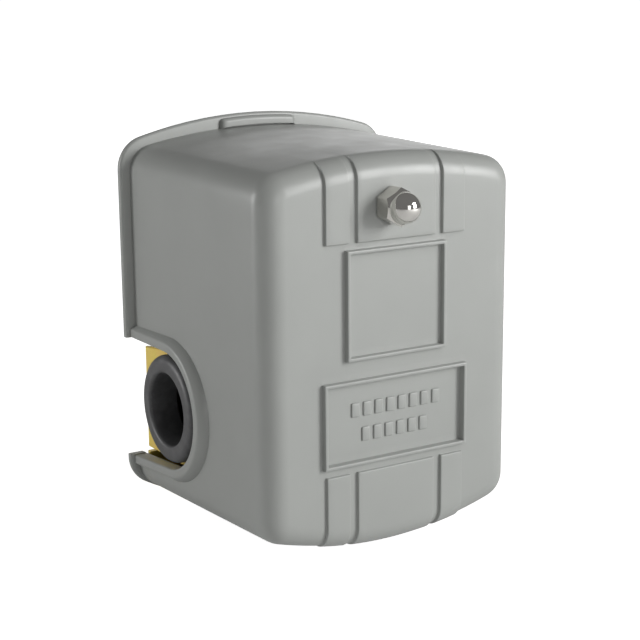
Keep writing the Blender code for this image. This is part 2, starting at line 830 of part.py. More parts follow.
def build_adjuster(prefix, place, coil_radius, wire, spring_top, turns, bore, flats):
    """A spring on the lever, the cup washer on top of it, and the nut that loads it."""
    bottom = LEVER_TOP + CLEARANCE
    coil(
        f"{prefix}_spring",
        coil_radius,
        wire,
        (bottom, spring_top),
        turns,
        spring_steel,
        at=(*place, 0),
        resolution=2 if wire > MM else 1,
    )
    seat_bottom = spring_top + CLEARANCE
    seat_top = seat_bottom + 1.4 * MM
    reach = coil_radius + wire + 0.6 * MM
    skirt = 0.3 * MM
    turned(
        f"{prefix}_spring_seat",
        [
            (bore, seat_top),
            (reach - 0.5 * MM, seat_top),
            (reach, seat_top - 0.5 * MM),
            (reach, seat_bottom),
            (coil_radius - wire - skirt, seat_bottom),
            (coil_radius - wire - skirt - 0.7 * MM, seat_bottom - 1.6 * MM),
            (bore, seat_bottom - 1.6 * MM),
        ],
        plain_zinc,
        at=(*place, 0),
        ring=True,
    )
    nut_bottom = seat_top + CLEARANCE
    nut_top = nut_bottom + 0.55 * flats
    nut = cylinders(
        f"{prefix}_nut", flats / math.sqrt(3), (nut_bottom, nut_top), [place], plain_zinc, sides=6
    )
    corner_radius = flats / math.sqrt(3)
    rounding = turned(
        f"{prefix}_nut_rounding",
        [
            (0, nut_top + 0.2 * MM),
            (corner_radius - 1.1 * MM, nut_top + 0.2 * MM),
            (corner_radius + 0.05 * MM, nut_top - 0.45 * MM),
            (corner_radius + 0.05 * MM, nut_bottom - MM),
            (0, nut_bottom - MM),
        ],
        at=(*place, 0),
        sides=24,
    )
    boolean(nut, "INTERSECT", rounding)
    cut(nut, cylinders(f"{prefix}_nut_bore", bore, (nut_bottom - MM, nut_top + MM), [place], sides=20))


# ---------------------------------------------------------------- terminals and contacts


def build_terminal_block():
    """The moulded block: a deck with five barriers, a rear wall, two legs and two screwed feet."""
    half = BLOCK_HALF_LENGTH
    y_low, y_high = BLOCK_Y
    deck_low, deck_high = BLOCK_Z
    deck = ((-half, y_low, deck_low), (half, y_high, deck_high))
    block = boxes("terminal_block", [deck], black_phenolic)
    overlap = 0.5 * MM
    walls = []
    for index in range(5):
        middle = (index - 2) * TERMINAL_PITCH
        walls.append(
            boxes(
                f"barrier_{index}",
                [
                    (
                        (middle - BARRIER_HALF, y_low + 0.2 * MM, deck_high - overlap),
                        (middle + BARRIER_HALF, y_high - 0.2 * MM, BARRIER_TOP),
                    )
                ],
            )
        )
    back = boxes(
        "block_back_wall",
        [
            (
                (-half + 0.2 * MM, y_high - 2 * MM, deck_high - overlap),
                (half - 0.2 * MM, y_high - 0.4 * MM, BARRIER_TOP - 1.5 * MM),
            )
        ],
    )
    leg_width = 3.5 * MM
    foot_inner, foot_end, foot_top = 21 * MM, -47 * MM, 28 * MM
    standing = PLATE_TOP + CLEARANCE
    legs, feet = [], []
    for side in (-1, 1):
        left, right = sorted((side * (half - leg_width), side * (half - 0.1 * MM)))
        low = (left, y_low + 0.1 * MM, standing)
        legs.append((low, (right, y_high - 0.1 * MM, deck_low + overlap)))
        left, right = sorted((side * foot_inner, side * (half - 0.05 * MM)))
        low = (left, foot_end, standing + 0.05 * MM)
        feet.append((low, (right, y_low + MM, foot_top)))
    join(block, *walls, back, boxes("block_legs", legs), boxes("block_feet", feet))
    holes = [(x, TERMINAL_SCREW_Y) for x in TERMINAL_X] + [(x, CONTACT_Y) for x in TERMINAL_X]
    through_deck = (deck_low - MM, deck_high + MM)
    cut(
        block,
        cylinders("terminal_holes", TERMINAL_SCREW_HOLE, through_deck, holes, sides=12),
        cylinders("foot_holes", SMALL_SCREW_HOLE, THROUGH_PLATE, both_sides(FOOT_SCREW), sides=12),
        rods_along_x("carrier_pin_hole", CARRIER_BORE, CARRIER_CUT, CARRIER_Y, CARRIER_Z, sides=12),
    )
    return block


def build_terminals():
    """Each terminal: a brass plate riveted through the block to a fixed contact under it."""
    deck = BLOCK_Z[1] + CLEARANCE
    plate_half, thickness = 5.2 * MM, 1.0 * MM
    for index, x in enumerate(TERMINAL_X, 1):
        name = f"terminal_{index}"
        low = (x - plate_half, -38.4 * MM, deck)
        plate = boxes(name, [(low, (x + plate_half, -23 * MM, deck + thickness))], brass)
        rivet = turned(
            f"{name}_rivet",
            [
                (0, deck + 1.5 * MM),
                (2.1 * MM, deck + 1.4 * MM),
                (2.3 * MM, deck + 0.5 * MM),
                (1.6 * MM, deck + 0.5 * MM),
                (1.6 * MM, 37.6 * MM),
                (2.5 * MM, 37.6 * MM),
                (2.5 * MM, 36.8 * MM),
                (1.8 * MM, 36.4 * MM),
                (0, 36.3 * MM),
            ],
            at=(x, CONTACT_Y, 0),
            sides=16,
        )
        join(plate, rivet)
        place, span = (x, TERMINAL_SCREW_Y), (40 * MM, 50 * MM)
        cut(plate, cylinders(f"{name}_hole", TERMINAL_SCREW_HOLE, span, [place], sides=12))
        build_terminal_screw(index, x, deck + thickness + CLEARANCE)


def build_terminal_screw(index, x, seat):
    """A slotted binding screw and the square clamp washer under its head."""
    half, thickness = 3.7 * MM, 1.0 * MM
    turned_up = 0.9 * MM
    shank, tip = 1.75 * MM, 39.4 * MM
    slot_half, slot_depth = 0.45 * MM, 0.9 * MM
    y = TERMINAL_SCREW_Y
    clamp = boxes(
        f"wire_clamp_{index}",
        [((x - half, y - half, seat), (x + half, y + half, seat + thickness))],
        plain_zinc,
    )
    sides_up = []
    for side in (-1, 1):
        left, right = sorted((x + side * half, x + side * (half - 0.8 * MM)))
        low = (left, y - half + 0.1 * MM, seat + 0.4 * MM)
        sides_up.append((low, (right, y + half - 0.1 * MM, seat + thickness + turned_up)))
    join(clamp, boxes(f"wire_clamp_{index}_sides", sides_up))
    span = (seat - MM, seat + 3 * MM)
    cut(clamp, cylinders(f"wire_clamp_{index}_hole", TERMINAL_SCREW_HOLE, span, [(x, y)], sides=12))
    head_low = seat + thickness + CLEARANCE
    head_high = head_low + 2.2 * MM
    head = 2.6 * MM
    screw = turned(
        f"terminal_screw_{index}",
        [
            (0, head_high),
            (head - 0.8 * MM, head_high),
            (head, head_high - 0.6 * MM),
            (head, head_low),
            (shank, head_low),
            (shank, tip),
            (0, tip),
        ],
        plain_zinc,
        at=(x, y, 0),
        sides=20,
    )
    far = head + MM
    low, high = (x - far, y - slot_half, head_high - slot_depth), (x + far, y + slot_half, head_high + MM)
    cut(screw, boxes(f"terminal_screw_{index}_slot", [(low, high)]))


def build_contact_carrier():
    """The moulded bar that carries both bridging contacts and swings on its own pin."""
    half = CARRIER_HALF_LENGTH
    bottom, top = CARRIER_SPAN
    bar_span = ((-half, -39.6 * MM, bottom), (half, -24 * MM, top))
    lug_span = ((-4 * MM, -36.6 * MM, 26.9 * MM), (4 * MM, -34.6 * MM, bottom + 0.5 * MM))
    slot_span = ((-2.6 * MM, -33.5 * MM, bottom - MM), (2.6 * MM, -23 * MM, top + MM))
    bar = boxes("contact_carrier", [bar_span], tan_phenolic)
    join(bar, boxes("carrier_lug", [lug_span]))
    cut(
        bar,
        rods_along_x("carrier_bore", CARRIER_BORE, CARRIER_CUT, CARRIER_Y, CARRIER_Z, sides=12),
        boxes("carrier_slot", [slot_span]),
    )
    top += CLEARANCE
    bridge_ends, bridge_half = (4.2 * MM, 22.4 * MM), 2.6 * MM
    for side, name in ((-1, "left"), (1, "right")):
        left, right = sorted(side * end for end in bridge_ends)
        low = (left, CONTACT_Y - bridge_half, top)
        high = (right, CONTACT_Y + bridge_half, top + MM)
        bridge = boxes(f"bridge_contact_{name}", [(low, high)], brass)
        buttons = cylinders(
            f"bridge_{name}_buttons",
            2.2 * MM,
            (top + 0.5 * MM, 36.0 * MM),
            [(side * x, CONTACT_Y) for x in TERMINAL_X[2:]],
            sides=16,
            top_radius=1.6 * MM,
        )
        join(bridge, buttons)


def build_panhead(name, place, head_radius, head_low, head_high, shank, tip, material):
    """A cross-recessed screw, head up."""
    x, y = place
    screw = turned(
        name,
        [
            (0, head_high),
            (head_radius * 0.6, head_high - 0.1 * MM),
            (head_radius, head_high - 0.8 * MM),
            (head_radius, head_low),
            (shank, head_low),
            (shank, tip),
            (0, tip),
        ],
        material,
        at=(x, y, 0),
        sides=20,
    )
    arm = head_radius * 0.55
    width = 0.4 * MM
    recess = head_high - 1.1 * MM
    for index, (dx, dy) in enumerate(((arm, width), (width, arm))):
        low, high = (x - dx, y - dy, recess), (x + dx, y + dy, head_high + MM)
        cut(screw, boxes(f"{name}_recess_{index}", [(low, high)]))
    return screw


def build_grommet(name, side):
    """A rubber bushing snapped into a side tab: a rounded outer flange, a neck and an inner flange."""
    tab_outer = TAB_FACE_X + CLEARANCE
    tab_inner = TAB_FACE_X - PLATE_THICKNESS - CLEARANCE
    neck = TAB_HOLE - CLEARANCE
    face, back = GROMMET_FACE_X, 30.4 * MM
    outer = GROMMET_RADIUS
    rounding = 1.5 * MM
    rim = [
        (outer - rounding + rounding * math.sin(a), face - rounding + rounding * math.cos(a))
        for a in quarter(4)
    ]
    profile = [(GROMMET_BORE + 0.5 * MM, face), *rim]
    profile += [(outer, tab_outer), (neck, tab_outer), (neck, tab_inner)]
    profile += [(12.7 * MM, tab_inner), (12.7 * MM, back + 0.8 * MM), (11.6 * MM, back)]
    profile += [(GROMMET_BORE, back), (GROMMET_BORE, face - 0.5 * MM)]
    return turned(
        name,
        profile,
        black_rubber,
        at=(0, ENTRY_Y, ENTRY_Z),
        rotation=(0, math.radians(90) * side, 0),
        sides=28,
        ring=True,
    )


# ---------------------------------------------------------------- assembly

clear_scene()
parts = new_collection("pressure_switch")
cutters = new_collection("cutters")
assembly = bpy.data.objects.new("assembly", None)
assembly.rotation_euler = (math.radians(90), 0, 0)
parts.objects.link(assembly)

grey_plastic = plastic("grey_plastic", (0.34, 0.35, 0.33), 0.35)
black_rubber = plastic("black_rubber", (0.06, 0.06, 0.06), 0.55)
black_phenolic = plastic("black_phenolic", (0.03, 0.03, 0.03), 0.4)
tan_phenolic = plastic("tan_phenolic", (0.2, 0.09, 0.04), 0.5)
moulded_nylon = plastic("moulded_nylon", (0.75, 0.73, 0.66), 0.45)
green_paint = plastic("green_paint", (0.02, 0.25, 0.07), 0.4)
bright_steel = metal("bright_steel", (0.78, 0.76, 0.72), 0.1)
zinc_yellow = metal("zinc_yellow", (0.8, 0.58, 0.2), 0.3)
plain_zinc = metal("plain_zinc", (0.62, 0.63, 0.64), 0.32)
spring_steel = metal("spring_steel", (0.3, 0.3, 0.31), 0.35)
cast_metal = metal("cast_metal", (0.55, 0.55, 0.55), 0.5)
brass = metal("brass", (0.75, 0.55, 0.25), 0.3)

build_cover()
build_cap_nut()
build_base_plate()
build_pressure_housing()
build_housing_screws()
build_diaphragm()
build_piston()
build_lever()
build_pin("lever_pin", PIVOT_PIN, 22.6 * MM, PIVOT_Y, PIVOT_Z, 2.3 * MM)
build_pin("carrier_pin", 1.0 * MM, 28 * MM, CARRIER_Y, CARRIER_Z, 1.6 * MM)
build_stud("range_stud", RANGE, 2.5 * MM, 3.9 * MM, STUD_TOP, riveted=True)
build_stud(
    "differential_stud",
    DIFFERENTIAL,
    2.0 * MM,
    3.0 * MM,
    61 * MM,
    riveted=False,
)
build_adjuster("range", RANGE, 8.3 * MM, 1.2 * MM, 60 * MM, 7, 2.8 * MM, 9.5 * MM)
build_adjuster(
    "differential",
    DIFFERENTIAL,
    4.6 * MM,
    0.6 * MM,
    51 * MM,
    8,
    2.3 * MM,
    8 * MM,
)
build_terminal_block()
build_terminals()
build_contact_carrier()
coil(
    "toggle_spring",
    1.5 * MM,
    0.28 * MM,
    (0, 11.4 * MM),
    9,
    spring_steel,
    at=(0, -34.3 * MM, 28.3 * MM),
    axis="Y",
    per_turn=8,
)
for side, (x, y) in zip(("left", "right"), both_sides(FOOT_SCREW)):
    build_panhead(
        f"block_screw_{side}", (x, y), 3.1 * MM, 28.3 * MM, 30.4 * MM, 1.6 * MM, 21.2 * MM, plain_zinc
    )
for side, (x, y) in zip(("left", "right"), both_sides(GROUND_SCREW)):
    head_low = PLATE_TOP + CLEARANCE
    build_panhead(
        f"ground_screw_{side}", (x, y), 3.8 * MM, head_low, 27.1 * MM, 1.6 * MM, 20 * MM, green_paint
    )
build_grommet("grommet_left", -1)
build_grommet("grommet_right", 1)
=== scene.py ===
"""Looks of the pressure switch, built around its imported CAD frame.

Lengths are in metres. Shapes are made on the bench, as the switch lies with its port down: x along
the terminals, y from the terminals to the springs, z the height above the port's mouth. to_row()
turns them a quarter turn about x into the frame's axes, where the cover faces -Y.
"""

import json
import math

import bmesh
import bpy
import numpy as np
from mathutils import Matrix, Vector


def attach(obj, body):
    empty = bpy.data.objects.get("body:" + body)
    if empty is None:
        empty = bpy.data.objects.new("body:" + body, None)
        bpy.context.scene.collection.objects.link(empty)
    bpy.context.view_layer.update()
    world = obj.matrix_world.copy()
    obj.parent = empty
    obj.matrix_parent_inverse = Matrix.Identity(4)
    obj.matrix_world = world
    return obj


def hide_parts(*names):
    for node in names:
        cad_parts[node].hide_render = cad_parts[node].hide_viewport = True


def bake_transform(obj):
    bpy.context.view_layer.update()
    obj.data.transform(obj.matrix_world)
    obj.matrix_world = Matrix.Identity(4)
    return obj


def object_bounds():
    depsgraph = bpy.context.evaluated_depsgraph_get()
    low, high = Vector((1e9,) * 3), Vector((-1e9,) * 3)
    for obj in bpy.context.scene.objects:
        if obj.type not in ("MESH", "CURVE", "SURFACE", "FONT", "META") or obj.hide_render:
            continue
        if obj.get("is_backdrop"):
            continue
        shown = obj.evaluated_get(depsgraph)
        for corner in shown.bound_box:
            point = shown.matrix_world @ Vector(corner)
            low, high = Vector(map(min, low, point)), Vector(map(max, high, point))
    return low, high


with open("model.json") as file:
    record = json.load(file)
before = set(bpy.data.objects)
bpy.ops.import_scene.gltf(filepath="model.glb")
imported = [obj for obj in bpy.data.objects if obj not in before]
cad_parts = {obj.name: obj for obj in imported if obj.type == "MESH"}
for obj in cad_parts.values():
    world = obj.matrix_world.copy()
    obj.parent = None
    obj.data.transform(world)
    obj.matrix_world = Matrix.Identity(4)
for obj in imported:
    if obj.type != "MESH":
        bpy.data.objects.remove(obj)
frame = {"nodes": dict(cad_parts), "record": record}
cad_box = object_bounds()

MM = 0.001
TO_ROW = Matrix.Rotation(math.radians(90), 4, "X")
SMOOTH_ANGLE = math.radians(35)
COVER_SMOOTH_ANGLE = math.radians(40)
BEVEL_ANGLE = math.radians(40)
# Too small to see: points this close are welded, and surfaces that would meet are kept this far apart
HAIR = 0.001 * MM
# Each material slot's material, filled in by make_materials()
finishes = {}

# Cover
COVER_Y = -6 * MM
COVER_REAR = 21.5 * MM
COVER_FRONT = 87.45 * MM
COVER_HALF_WIDTH = 37.8 * MM
COVER_HALF_HEIGHT = 49.7 * MM
COVER_ARCHES = (155 * MM, 108 * MM)
COVER_CORNER = 7 * MM
COVER_EDGE = 5.5 * MM
COVER_DRAFT = math.tan(math.radians(1.75))
COVER_WALL = 2.2 * MM
PAD_RELIEF = 0.8 * MM
FRAME_RELIEF = 1.3 * MM
LABEL_DROP = 0.35 * MM
FLANGE_HALF_WIDTH = 40.35 * MM
FLANGE_HALF_HEIGHT = 53.05 * MM
FLANGE_ARCHES = (127 * MM, 72 * MM)
FLANGE_CORNER = 8.5 * MM
FLANGE_THICKNESS = 2.1 * MM
BEAD_THICKNESS = 3.6 * MM
BEAD_HALF_LENGTH = 11.5 * MM

# Cable entries
ENTRY_Y = -24.6 * MM
ENTRY_Z = 42.1 * MM
CUTOUT_RADIUS = 15.2 * MM
CUTOUT_FLARE = 1.7 * MM
LIP_FACE_X = 39.15 * MM
LIP_LAND = 2.2 * MM
LIP_SLOPE = 1.6 * MM
TAB_RADIUS = 14.8 * MM
TAB_TAPER = math.radians(8)
TAB_FACE_X = 35.4 * MM
TAB_HOLE = 11.1 * MM
BEND_OUTER = 2.2 * MM

# Base plate and what is bolted under it
PLATE_BOTTOM = 22.8 * MM
PLATE_THICKNESS = 1.6 * MM
PLATE_TOP = PLATE_BOTTOM + PLATE_THICKNESS
PLATE_INSET = COVER_WALL + 0.6 * MM
PISTON_WINDOW = 13.5 * MM
HOUSING_FLANGE = 27 * MM
HOUSING_TOP = 20.5 * MM
HOUSING_LIP = 16 * MM
HOUSING_SCREW_CIRCLE = 22.5 * MM
HOUSING_SCREW_ANGLE = math.radians(30)
PORT_HEX = 22 * MM
PORT_HEX_HEIGHT = 9 * MM
PORT_RADIUS = 5.7 * MM
PORT_DEPTH = 12.5 * MM

# Lever, studs and contacts
RANGE = (-2 * MM, 29.7 * MM)
STUD_TOP = 94.9 * MM
DIFFERENTIAL = (16 * MM, 6 * MM)
PIVOT_Y = -18 * MM
PIVOT_Z = 29 * MM
PIVOT_BORE = 1.6 * MM
LEVER_BOTTOM = 30.3 * MM
LEVER_TOP = 31.9 * MM
LEVER_ARM_X = 17.5 * MM
EAR_X = 18.9 * MM
BLOCK_HALF_LENGTH = 27 * MM
BARRIER_TOP = 52 * MM
BARRIER_HALF = 0.9 * MM
TERMINAL_PITCH = (BLOCK_HALF_LENGTH - BARRIER_HALF) / 2
TERMINAL_X = [(index - 1.5) * TERMINAL_PITCH for index in range(4)]
TERMINAL_SCREW_Y = -34 * MM
CONTACT_Y = -27.5 * MM
CARRIER_Y = -37.5 * MM
CARRIER_Z = 32 * MM
FOOT_SCREW = (24 * MM, -43.8 * MM)
GROUND_SCREW = (28.5 * MM, 6 * MM)
SIDES = ((-1, "left"), (1, "right"))


# ---------------------------------------------------------------- mesh helpers


def new_object(name, mesh):
    obj = bpy.data.objects.new(name, mesh)
    bpy.context.scene.collection.objects.link(obj)
    return obj


def finished_mesh(obj):
    """The object's mesh with its modifiers applied. The object itself is removed."""
    bpy.context.view_layer.update()
    graph = bpy.context.evaluated_depsgraph_get()
    mesh = bpy.data.meshes.new_from_object(obj.evaluated_get(graph))
    bpy.data.objects.remove(obj)
    return mesh


def mesh_of(name, vertices, faces):
    mesh = bpy.data.meshes.new(name)
    mesh.from_pydata(vertices, [], faces)
    bm = bmesh.new()
    bm.from_mesh(mesh)
    bmesh.ops.recalc_face_normals(bm, faces=bm.faces)
    bm.to_mesh(mesh)
    bm.free()
    return mesh


def combined(base, cuts=(), joins=(), meets=()):
    """The base mesh with other closed meshes cut out of it, joined to it or intersected with it."""
    obj = new_object("base", base)
    others = []
    for meshes, operation in ((meets, "INTERSECT"), (joins, "UNION"), (cuts, "DIFFERENCE")):
        for mesh in meshes:
            other = new_object("other", mesh)
            others.append(other)
            modifier = obj.modifiers.new(operation, "BOOLEAN")
            modifier.operation = operation
            modifier.object = other
            modifier.solver = "MANIFOLD"
    made = finished_mesh(obj)
    for other in others:
        bpy.data.objects.remove(other)
    return made


def rounded(mesh, width, segments=3):
    """The mesh with its sharp edges bevelled."""
    obj = new_object("rounded", mesh)
    weld = obj.modifiers.new("weld", "WELD")
    weld.merge_threshold = HAIR
    bevel = obj.modifiers.new("bevel", "BEVEL")
    bevel.width = width
    bevel.segments = segments
    bevel.limit_method = "ANGLE"
    bevel.angle_limit = BEVEL_ANGLE
    return finished_mesh(obj)


def box_mesh(*boxes):
    """Boxes in one mesh, each given by two opposite corners."""
    bm = bmesh.new()
    for one, other in boxes:
        size = [abs(side) for side in Vector(other) - Vector(one)]
        middle = (Vector(other) + Vector(one)) / 2
        matrix = Matrix.Translation(middle) @ Matrix.Diagonal((*size, 1))
        bmesh.ops.create_cube(bm, size=1, matrix=matrix)
    mesh = bpy.data.meshes.new("box")
    bm.to_mesh(mesh)
    bm.free()
    return mesh


def soft_box(one, other, soft, segments=3):
    """A box between two opposite corners, with rounded edges."""
    return rounded(box_mesh((one, other)), soft, segments)


def stacked_mesh(name, vertices, count):
    """A closed mesh through rows of count points each, with a cap at each end."""
    faces = []
    last = len(vertices) - count
    for low in range(0, last, count):
        high = low + count
        for i in range(count):
            j = (i + 1) % count
            faces.append((low + i, low + j, high + j, high + i))
    faces.append(tuple(range(count))[::-1])
    faces.append(tuple(range(last, last + count)))
    return mesh_of(name, vertices, faces)


def loft_mesh(sections, place):
    """A closed mesh through outlines of (a, b) points, each at its own depth."""
    vertices = [place(a, b, depth) for outline, depth in sections for a, b in outline]
    return stacked_mesh("loft", vertices, len(sections[0][0]))


def points_at(base, *steps):
    """Profile points from (radius, height above the base) pairs in millimetres."""
    return [(radius * MM, base + height * MM) for radius, height in steps]


def quarter(steps):
    """The angles of a quarter turn, from 0 to a right angle."""
    return [math.radians(90) * k / steps for k in range(steps + 1)]


def upright(x, y, z):
    return (x, y, z)


def across(y, z, x):
    return (x, y, z)


def turned_mesh(profile, centre=(0, 0, 0), axis="Z", sides=64, ring=False):
    """A profile of (radius, height) points turned about an axis through the centre."""
    vertices = []
    faces = []
    rows = []
    for radius, height in profile:
        if radius < 1e-7:
            rows.append([len(vertices)])
            vertices.append((0, 0, height))
        else:
            rows.append(list(range(len(vertices), len(vertices) + sides)))
            for k in range(sides):
                angle = 2 * math.pi * k / sides
                vertices.append((radius * math.cos(angle), radius * math.sin(angle), height))
    pairs = list(zip(rows, rows[1:]))
    if ring:
        pairs.append((rows[-1], rows[0]))
    for lower, upper in pairs:
        for k in range(sides):
            following = (k + 1) % sides
            quad = [lower[k % len(lower)], lower[following % len(lower)]]
            quad += [upper[following % len(upper)], upper[k % len(upper)]]
            face = list(dict.fromkeys(quad))
            if len(face) > 2:
                faces.append(face)
    if not ring:
        for row in (rows[0], rows[-1]):
            if len(row) > 1:
                faces.append(row)
    mesh = mesh_of("turned", vertices, faces)
    turn = {"Z": Matrix.Identity(4), "X": Matrix.Rotation(math.radians(90), 4, "Y")}
    turn["-X"] = Matrix.Rotation(math.radians(-90), 4, "Y")
    mesh.transform(Matrix.Translation(centre) @ turn[axis])
    return mesh


def cylinder_mesh(sides, radius, low, high, centre):
    """An upright cylinder."""
    angles = [math.radians(90 + 360 * k / sides) for k in range(sides)]
    x, y = centre
    outline = [(x + radius * math.cos(a), y + radius * math.sin(a)) for a in angles]
    return loft_mesh([(outline, low), (outline, high)], upright)


def bore_mesh(radius, start, end, centre, sides):
    """A cylinder along x, to cut a pin's bore. Its ends are measured from the centre."""
    return turned_mesh([(0, start), (radius, start), (radius, end), (0, end)], centre, "X", sides)


def arc(centre, radius, start, end, steps):
    angles = [start + (end - start) * i / steps for i in range(steps + 1)]
    return [(centre[0] + radius * math.cos(a), centre[1] + radius * math.sin(a)) for a in angles]


def tube_mesh(points, radius, sides):
    """A round wire along a path, with closed ends and rounded rims."""
    path = [Vector(p) for p in points]
    count = len(path)
    tangents = []
    for i in range(count):
        tangents.append((path[min(i + 1, count - 1)] - path[max(i - 1, 0)]).normalized())
    normal = tangents[0].orthogonal().normalized()
    vertices = []
    for i, (point, tangent) in enumerate(zip(path, tangents)):
        normal = (normal - tangent * normal.dot(tangent)).normalized()
        side = tangent.cross(normal)
        r = radius * (0.8 if i in (0, count - 1) else 1.0)
        for k in range(sides):
            a = 2 * math.pi * k / sides
            vertices.append(tuple(point + r * (math.cos(a) * normal + math.sin(a) * side)))
    return stacked_mesh("tube", vertices, sides)


def thread_mesh(radius, low, high, pitch, depth, centre, sides, rows_per_turn):
    """A threaded rod, or the core of a threaded hole: a helical ridge on a round surface."""
    rows = round((high - low) / pitch * rows_per_turn)
    vertices = []
    for row in range(rows + 1):
        z = low + (high - low) * row / rows
        fade = min(1.0, (z - low) / pitch, (high - z) / pitch)
        for k in range(sides):
            turn = k / sides
            phase = (z / pitch - turn) % 1.0
            ridge = abs(2 * phase - 1)
            r = radius - depth * (1 - ridge) * fade
            angle = 2 * math.pi * turn
            vertices.append((centre[0] + r * math.cos(angle), centre[1] + r * math.sin(angle), z))
    return stacked_mesh("thread", vertices, sides)


def softened_slab(outline_at, low, high, soft, place):
    """A slab with rounded rims: outline_at(inset) gives its outline."""
    sections = []
    for a in quarter(3):
        sections.append((outline_at(soft * (1 - math.sin(a))), low + soft * (1 - math.cos(a))))
    sections += [(outline, low + high - depth) for outline, depth in reversed(sections)]
    return loft_mesh(sections, place)


def piece(name, mesh, body, slot, *nodes, sharp=SMOOTH_ANGLE):
    """A finished piece: a mesh in its slot's material, riding on a body in place of CAD nodes."""
    mesh.transform(TO_ROW)
    mesh.materials.clear()
    mesh.materials.append(finishes[slot])
    for polygon in mesh.polygons:
        polygon.material_index = 0
    mesh.shade_smooth()
    mesh.set_sharp_from_angle(angle=sharp)
    obj = new_object(name, mesh)
    if body:
        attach(obj, body)
    if nodes:
        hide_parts(*nodes)
    return obj


# ---------------------------------------------------------------- cover


def step_profile():
    """A moulded step, seen from above: (distance outwards from its edge, share of its height)."""
    top, foot, run, height = 0.24 * MM, 0.1 * MM, 0.06 * MM, 1.1 * MM
    angles = [math.radians(degrees) for degrees in (6, 20, 40, 65, 90)]
    lines = []
    for a in reversed(angles):
        lines.append((top * (math.cos(a) - 1), 1 - top * (1 - math.sin(a)) / height))
    for a in angles:
        lines.append((run + foot * (1 - math.cos(a)), foot * (1 - math.sin(a)) / height))
    return lines


STEP_AT, STEP_SHARE = (np.array(values) for values in zip(*step_profile()))
PAD_START = 27.7 * MM
MIDDLE_PAD, SIDE_PAD, PAD_END = 11.08 * MM, 13.33 * MM, 19.78 * MM
PAD_SPANS = ((-PAD_END, -SIDE_PAD), (-MIDDLE_PAD, MIDDLE_PAD), (SIDE_PAD, PAD_END))
# Half width, top and bottom of each raised frame, the width of its border, and its field's drop
FRAMES = (
    (14.22 * MM, 26.0 * MM, -0.25 * MM, 0.89 * MM, 0.0),
    (20.67 * MM, -4.95 * MM, -25.7 * MM, 0.89 * MM, LABEL_DROP),
)


def step(distance):
    """1 inside an edge, 0 outside it, by the distance outwards."""
    return float(np.interp(distance, STEP_AT, STEP_SHARE))


def relief(x, y):
    """How far the cover's front stands proud at a point."""
    pad = max(step(low - x) * step(x - high) for low, high in PAD_SPANS)
    height = PAD_RELIEF * pad * step(PAD_START - abs(y))
    for half, top, bottom, border, drop in FRAMES:
        outer = step(abs(x) - half) * step(y - top) * step(bottom - y)
        inner = 1 - step(half - border - abs(x))
        inner *= (1 - step(top - border - y)) * (1 - step(y - bottom - border))
        height += FRAME_RELIEF * outer * (1 - inner) - drop * inner * outer
    return height


def grid_lines(edges, limit, spacing):
    """Lines along one direction: close together at each (edge, outward sign), filled in between."""
    closest, stretch = 0.03 * MM, 1.6
    lines = {0.0, limit, -limit}
    for edge, sign in edges:
        lines.update(edge + sign * q for q in STEP_AT)
    kept = []
    for line in sorted(lines):
        if kept and line - kept[-1] < closest:
            continue
        while kept and line - kept[-1] > stretch * spacing:
            kept.append(kept[-1] + spacing)
        kept.append(line)
    return kept


def front_columns():
    edges = []
    for sign in (-1, 1):
        for half, _, _, border, _ in FRAMES:
            edges += [(sign * half, sign), (sign * (half - border), -sign)]
        edges += [(sign * MIDDLE_PAD, sign), (sign * SIDE_PAD, -sign), (sign * PAD_END, sign)]
    return grid_lines(edges, 21.8 * MM, 1.6 * MM)


def front_rows():
    edges = [(PAD_START, -1), (-PAD_START, 1)]
    for _, top, bottom, border, _ in FRAMES:
        edges += [(top, 1), (top - border, -1), (bottom, -1), (bottom + border, 1)]
    return grid_lines(edges, 29 * MM, 1.8 * MM)[::-1]


def arched_ring(half_width, half_height, arches, corner, columns, rows):
    """A rounded outline with bowed ends as four lists of points: top, right, bottom and left.

    Points on the top and bottom keep the x of each column, and those on the sides the y of each row.
    """
    outer, bends = 4, 5
    halves = []
    for arch in arches:
        centre = half_height - arch
        corner_x = half_width - corner
        corner_y = centre + math.sqrt((arch - corner) ** 2 - corner_x**2)
        meeting = math.atan2(corner_y - centre, corner_x)
        far = corner_x + corner * math.cos(meeting)
        last = columns[-1]
        xs = [x for x in columns if x >= 0]
        xs += [last + (far - last) * k / outer for k in range(1, outer)]
        points = [(x, centre + math.sqrt(arch**2 - x**2)) for x in xs]
        points += arc((corner_x, corner_y), corner, meeting, meeting / 2, bends)
        side = arc((corner_x, corner_y), corner, meeting / 2, 0, bends)[1:]
        halves.append((points, side))
    (top_half, top_side), (bottom_half, bottom_side) = halves

    def whole(points):
        return [(-x, y) for x, y in points if x > HAIR][::-1] + points

    top = whole(top_half)
    bottom = [(x, -y) for x, y in whole(bottom_half)]
    upper, lower = top_side[-1][1], -bottom_side[-1][1]
    fill = [upper + (rows[0] - upper) * k / 4 for k in range(1, 4)]
    fill_low = [rows[-1] + (lower - rows[-1]) * k / 4 for k in range(1, 4)]
    straight = [(half_width, y) for y in [*fill, *rows, *fill_low]]
    right = top_side + straight + [(x, -y) for x, y in reversed(bottom_side)]
    return top, right, bottom, [(-x, y) for x, y in right]


def once_round(ring):
    """The four lists of an arched ring as one outline."""
    top, right, bottom, left = ring
    return top + right + bottom[::-1] + left[::-1]


def cover_section(height, inset, columns, rows, more=0.0):
    shrink = (height - COVER_REAR) * COVER_DRAFT + inset + more
    return arched_ring(
        COVER_HALF_WIDTH - shrink,
        COVER_HALF_HEIGHT - shrink,
        [radius - shrink for radius in COVER_ARCHES],
        COVER_CORNER - inset - more,
        columns,
        rows,
    )


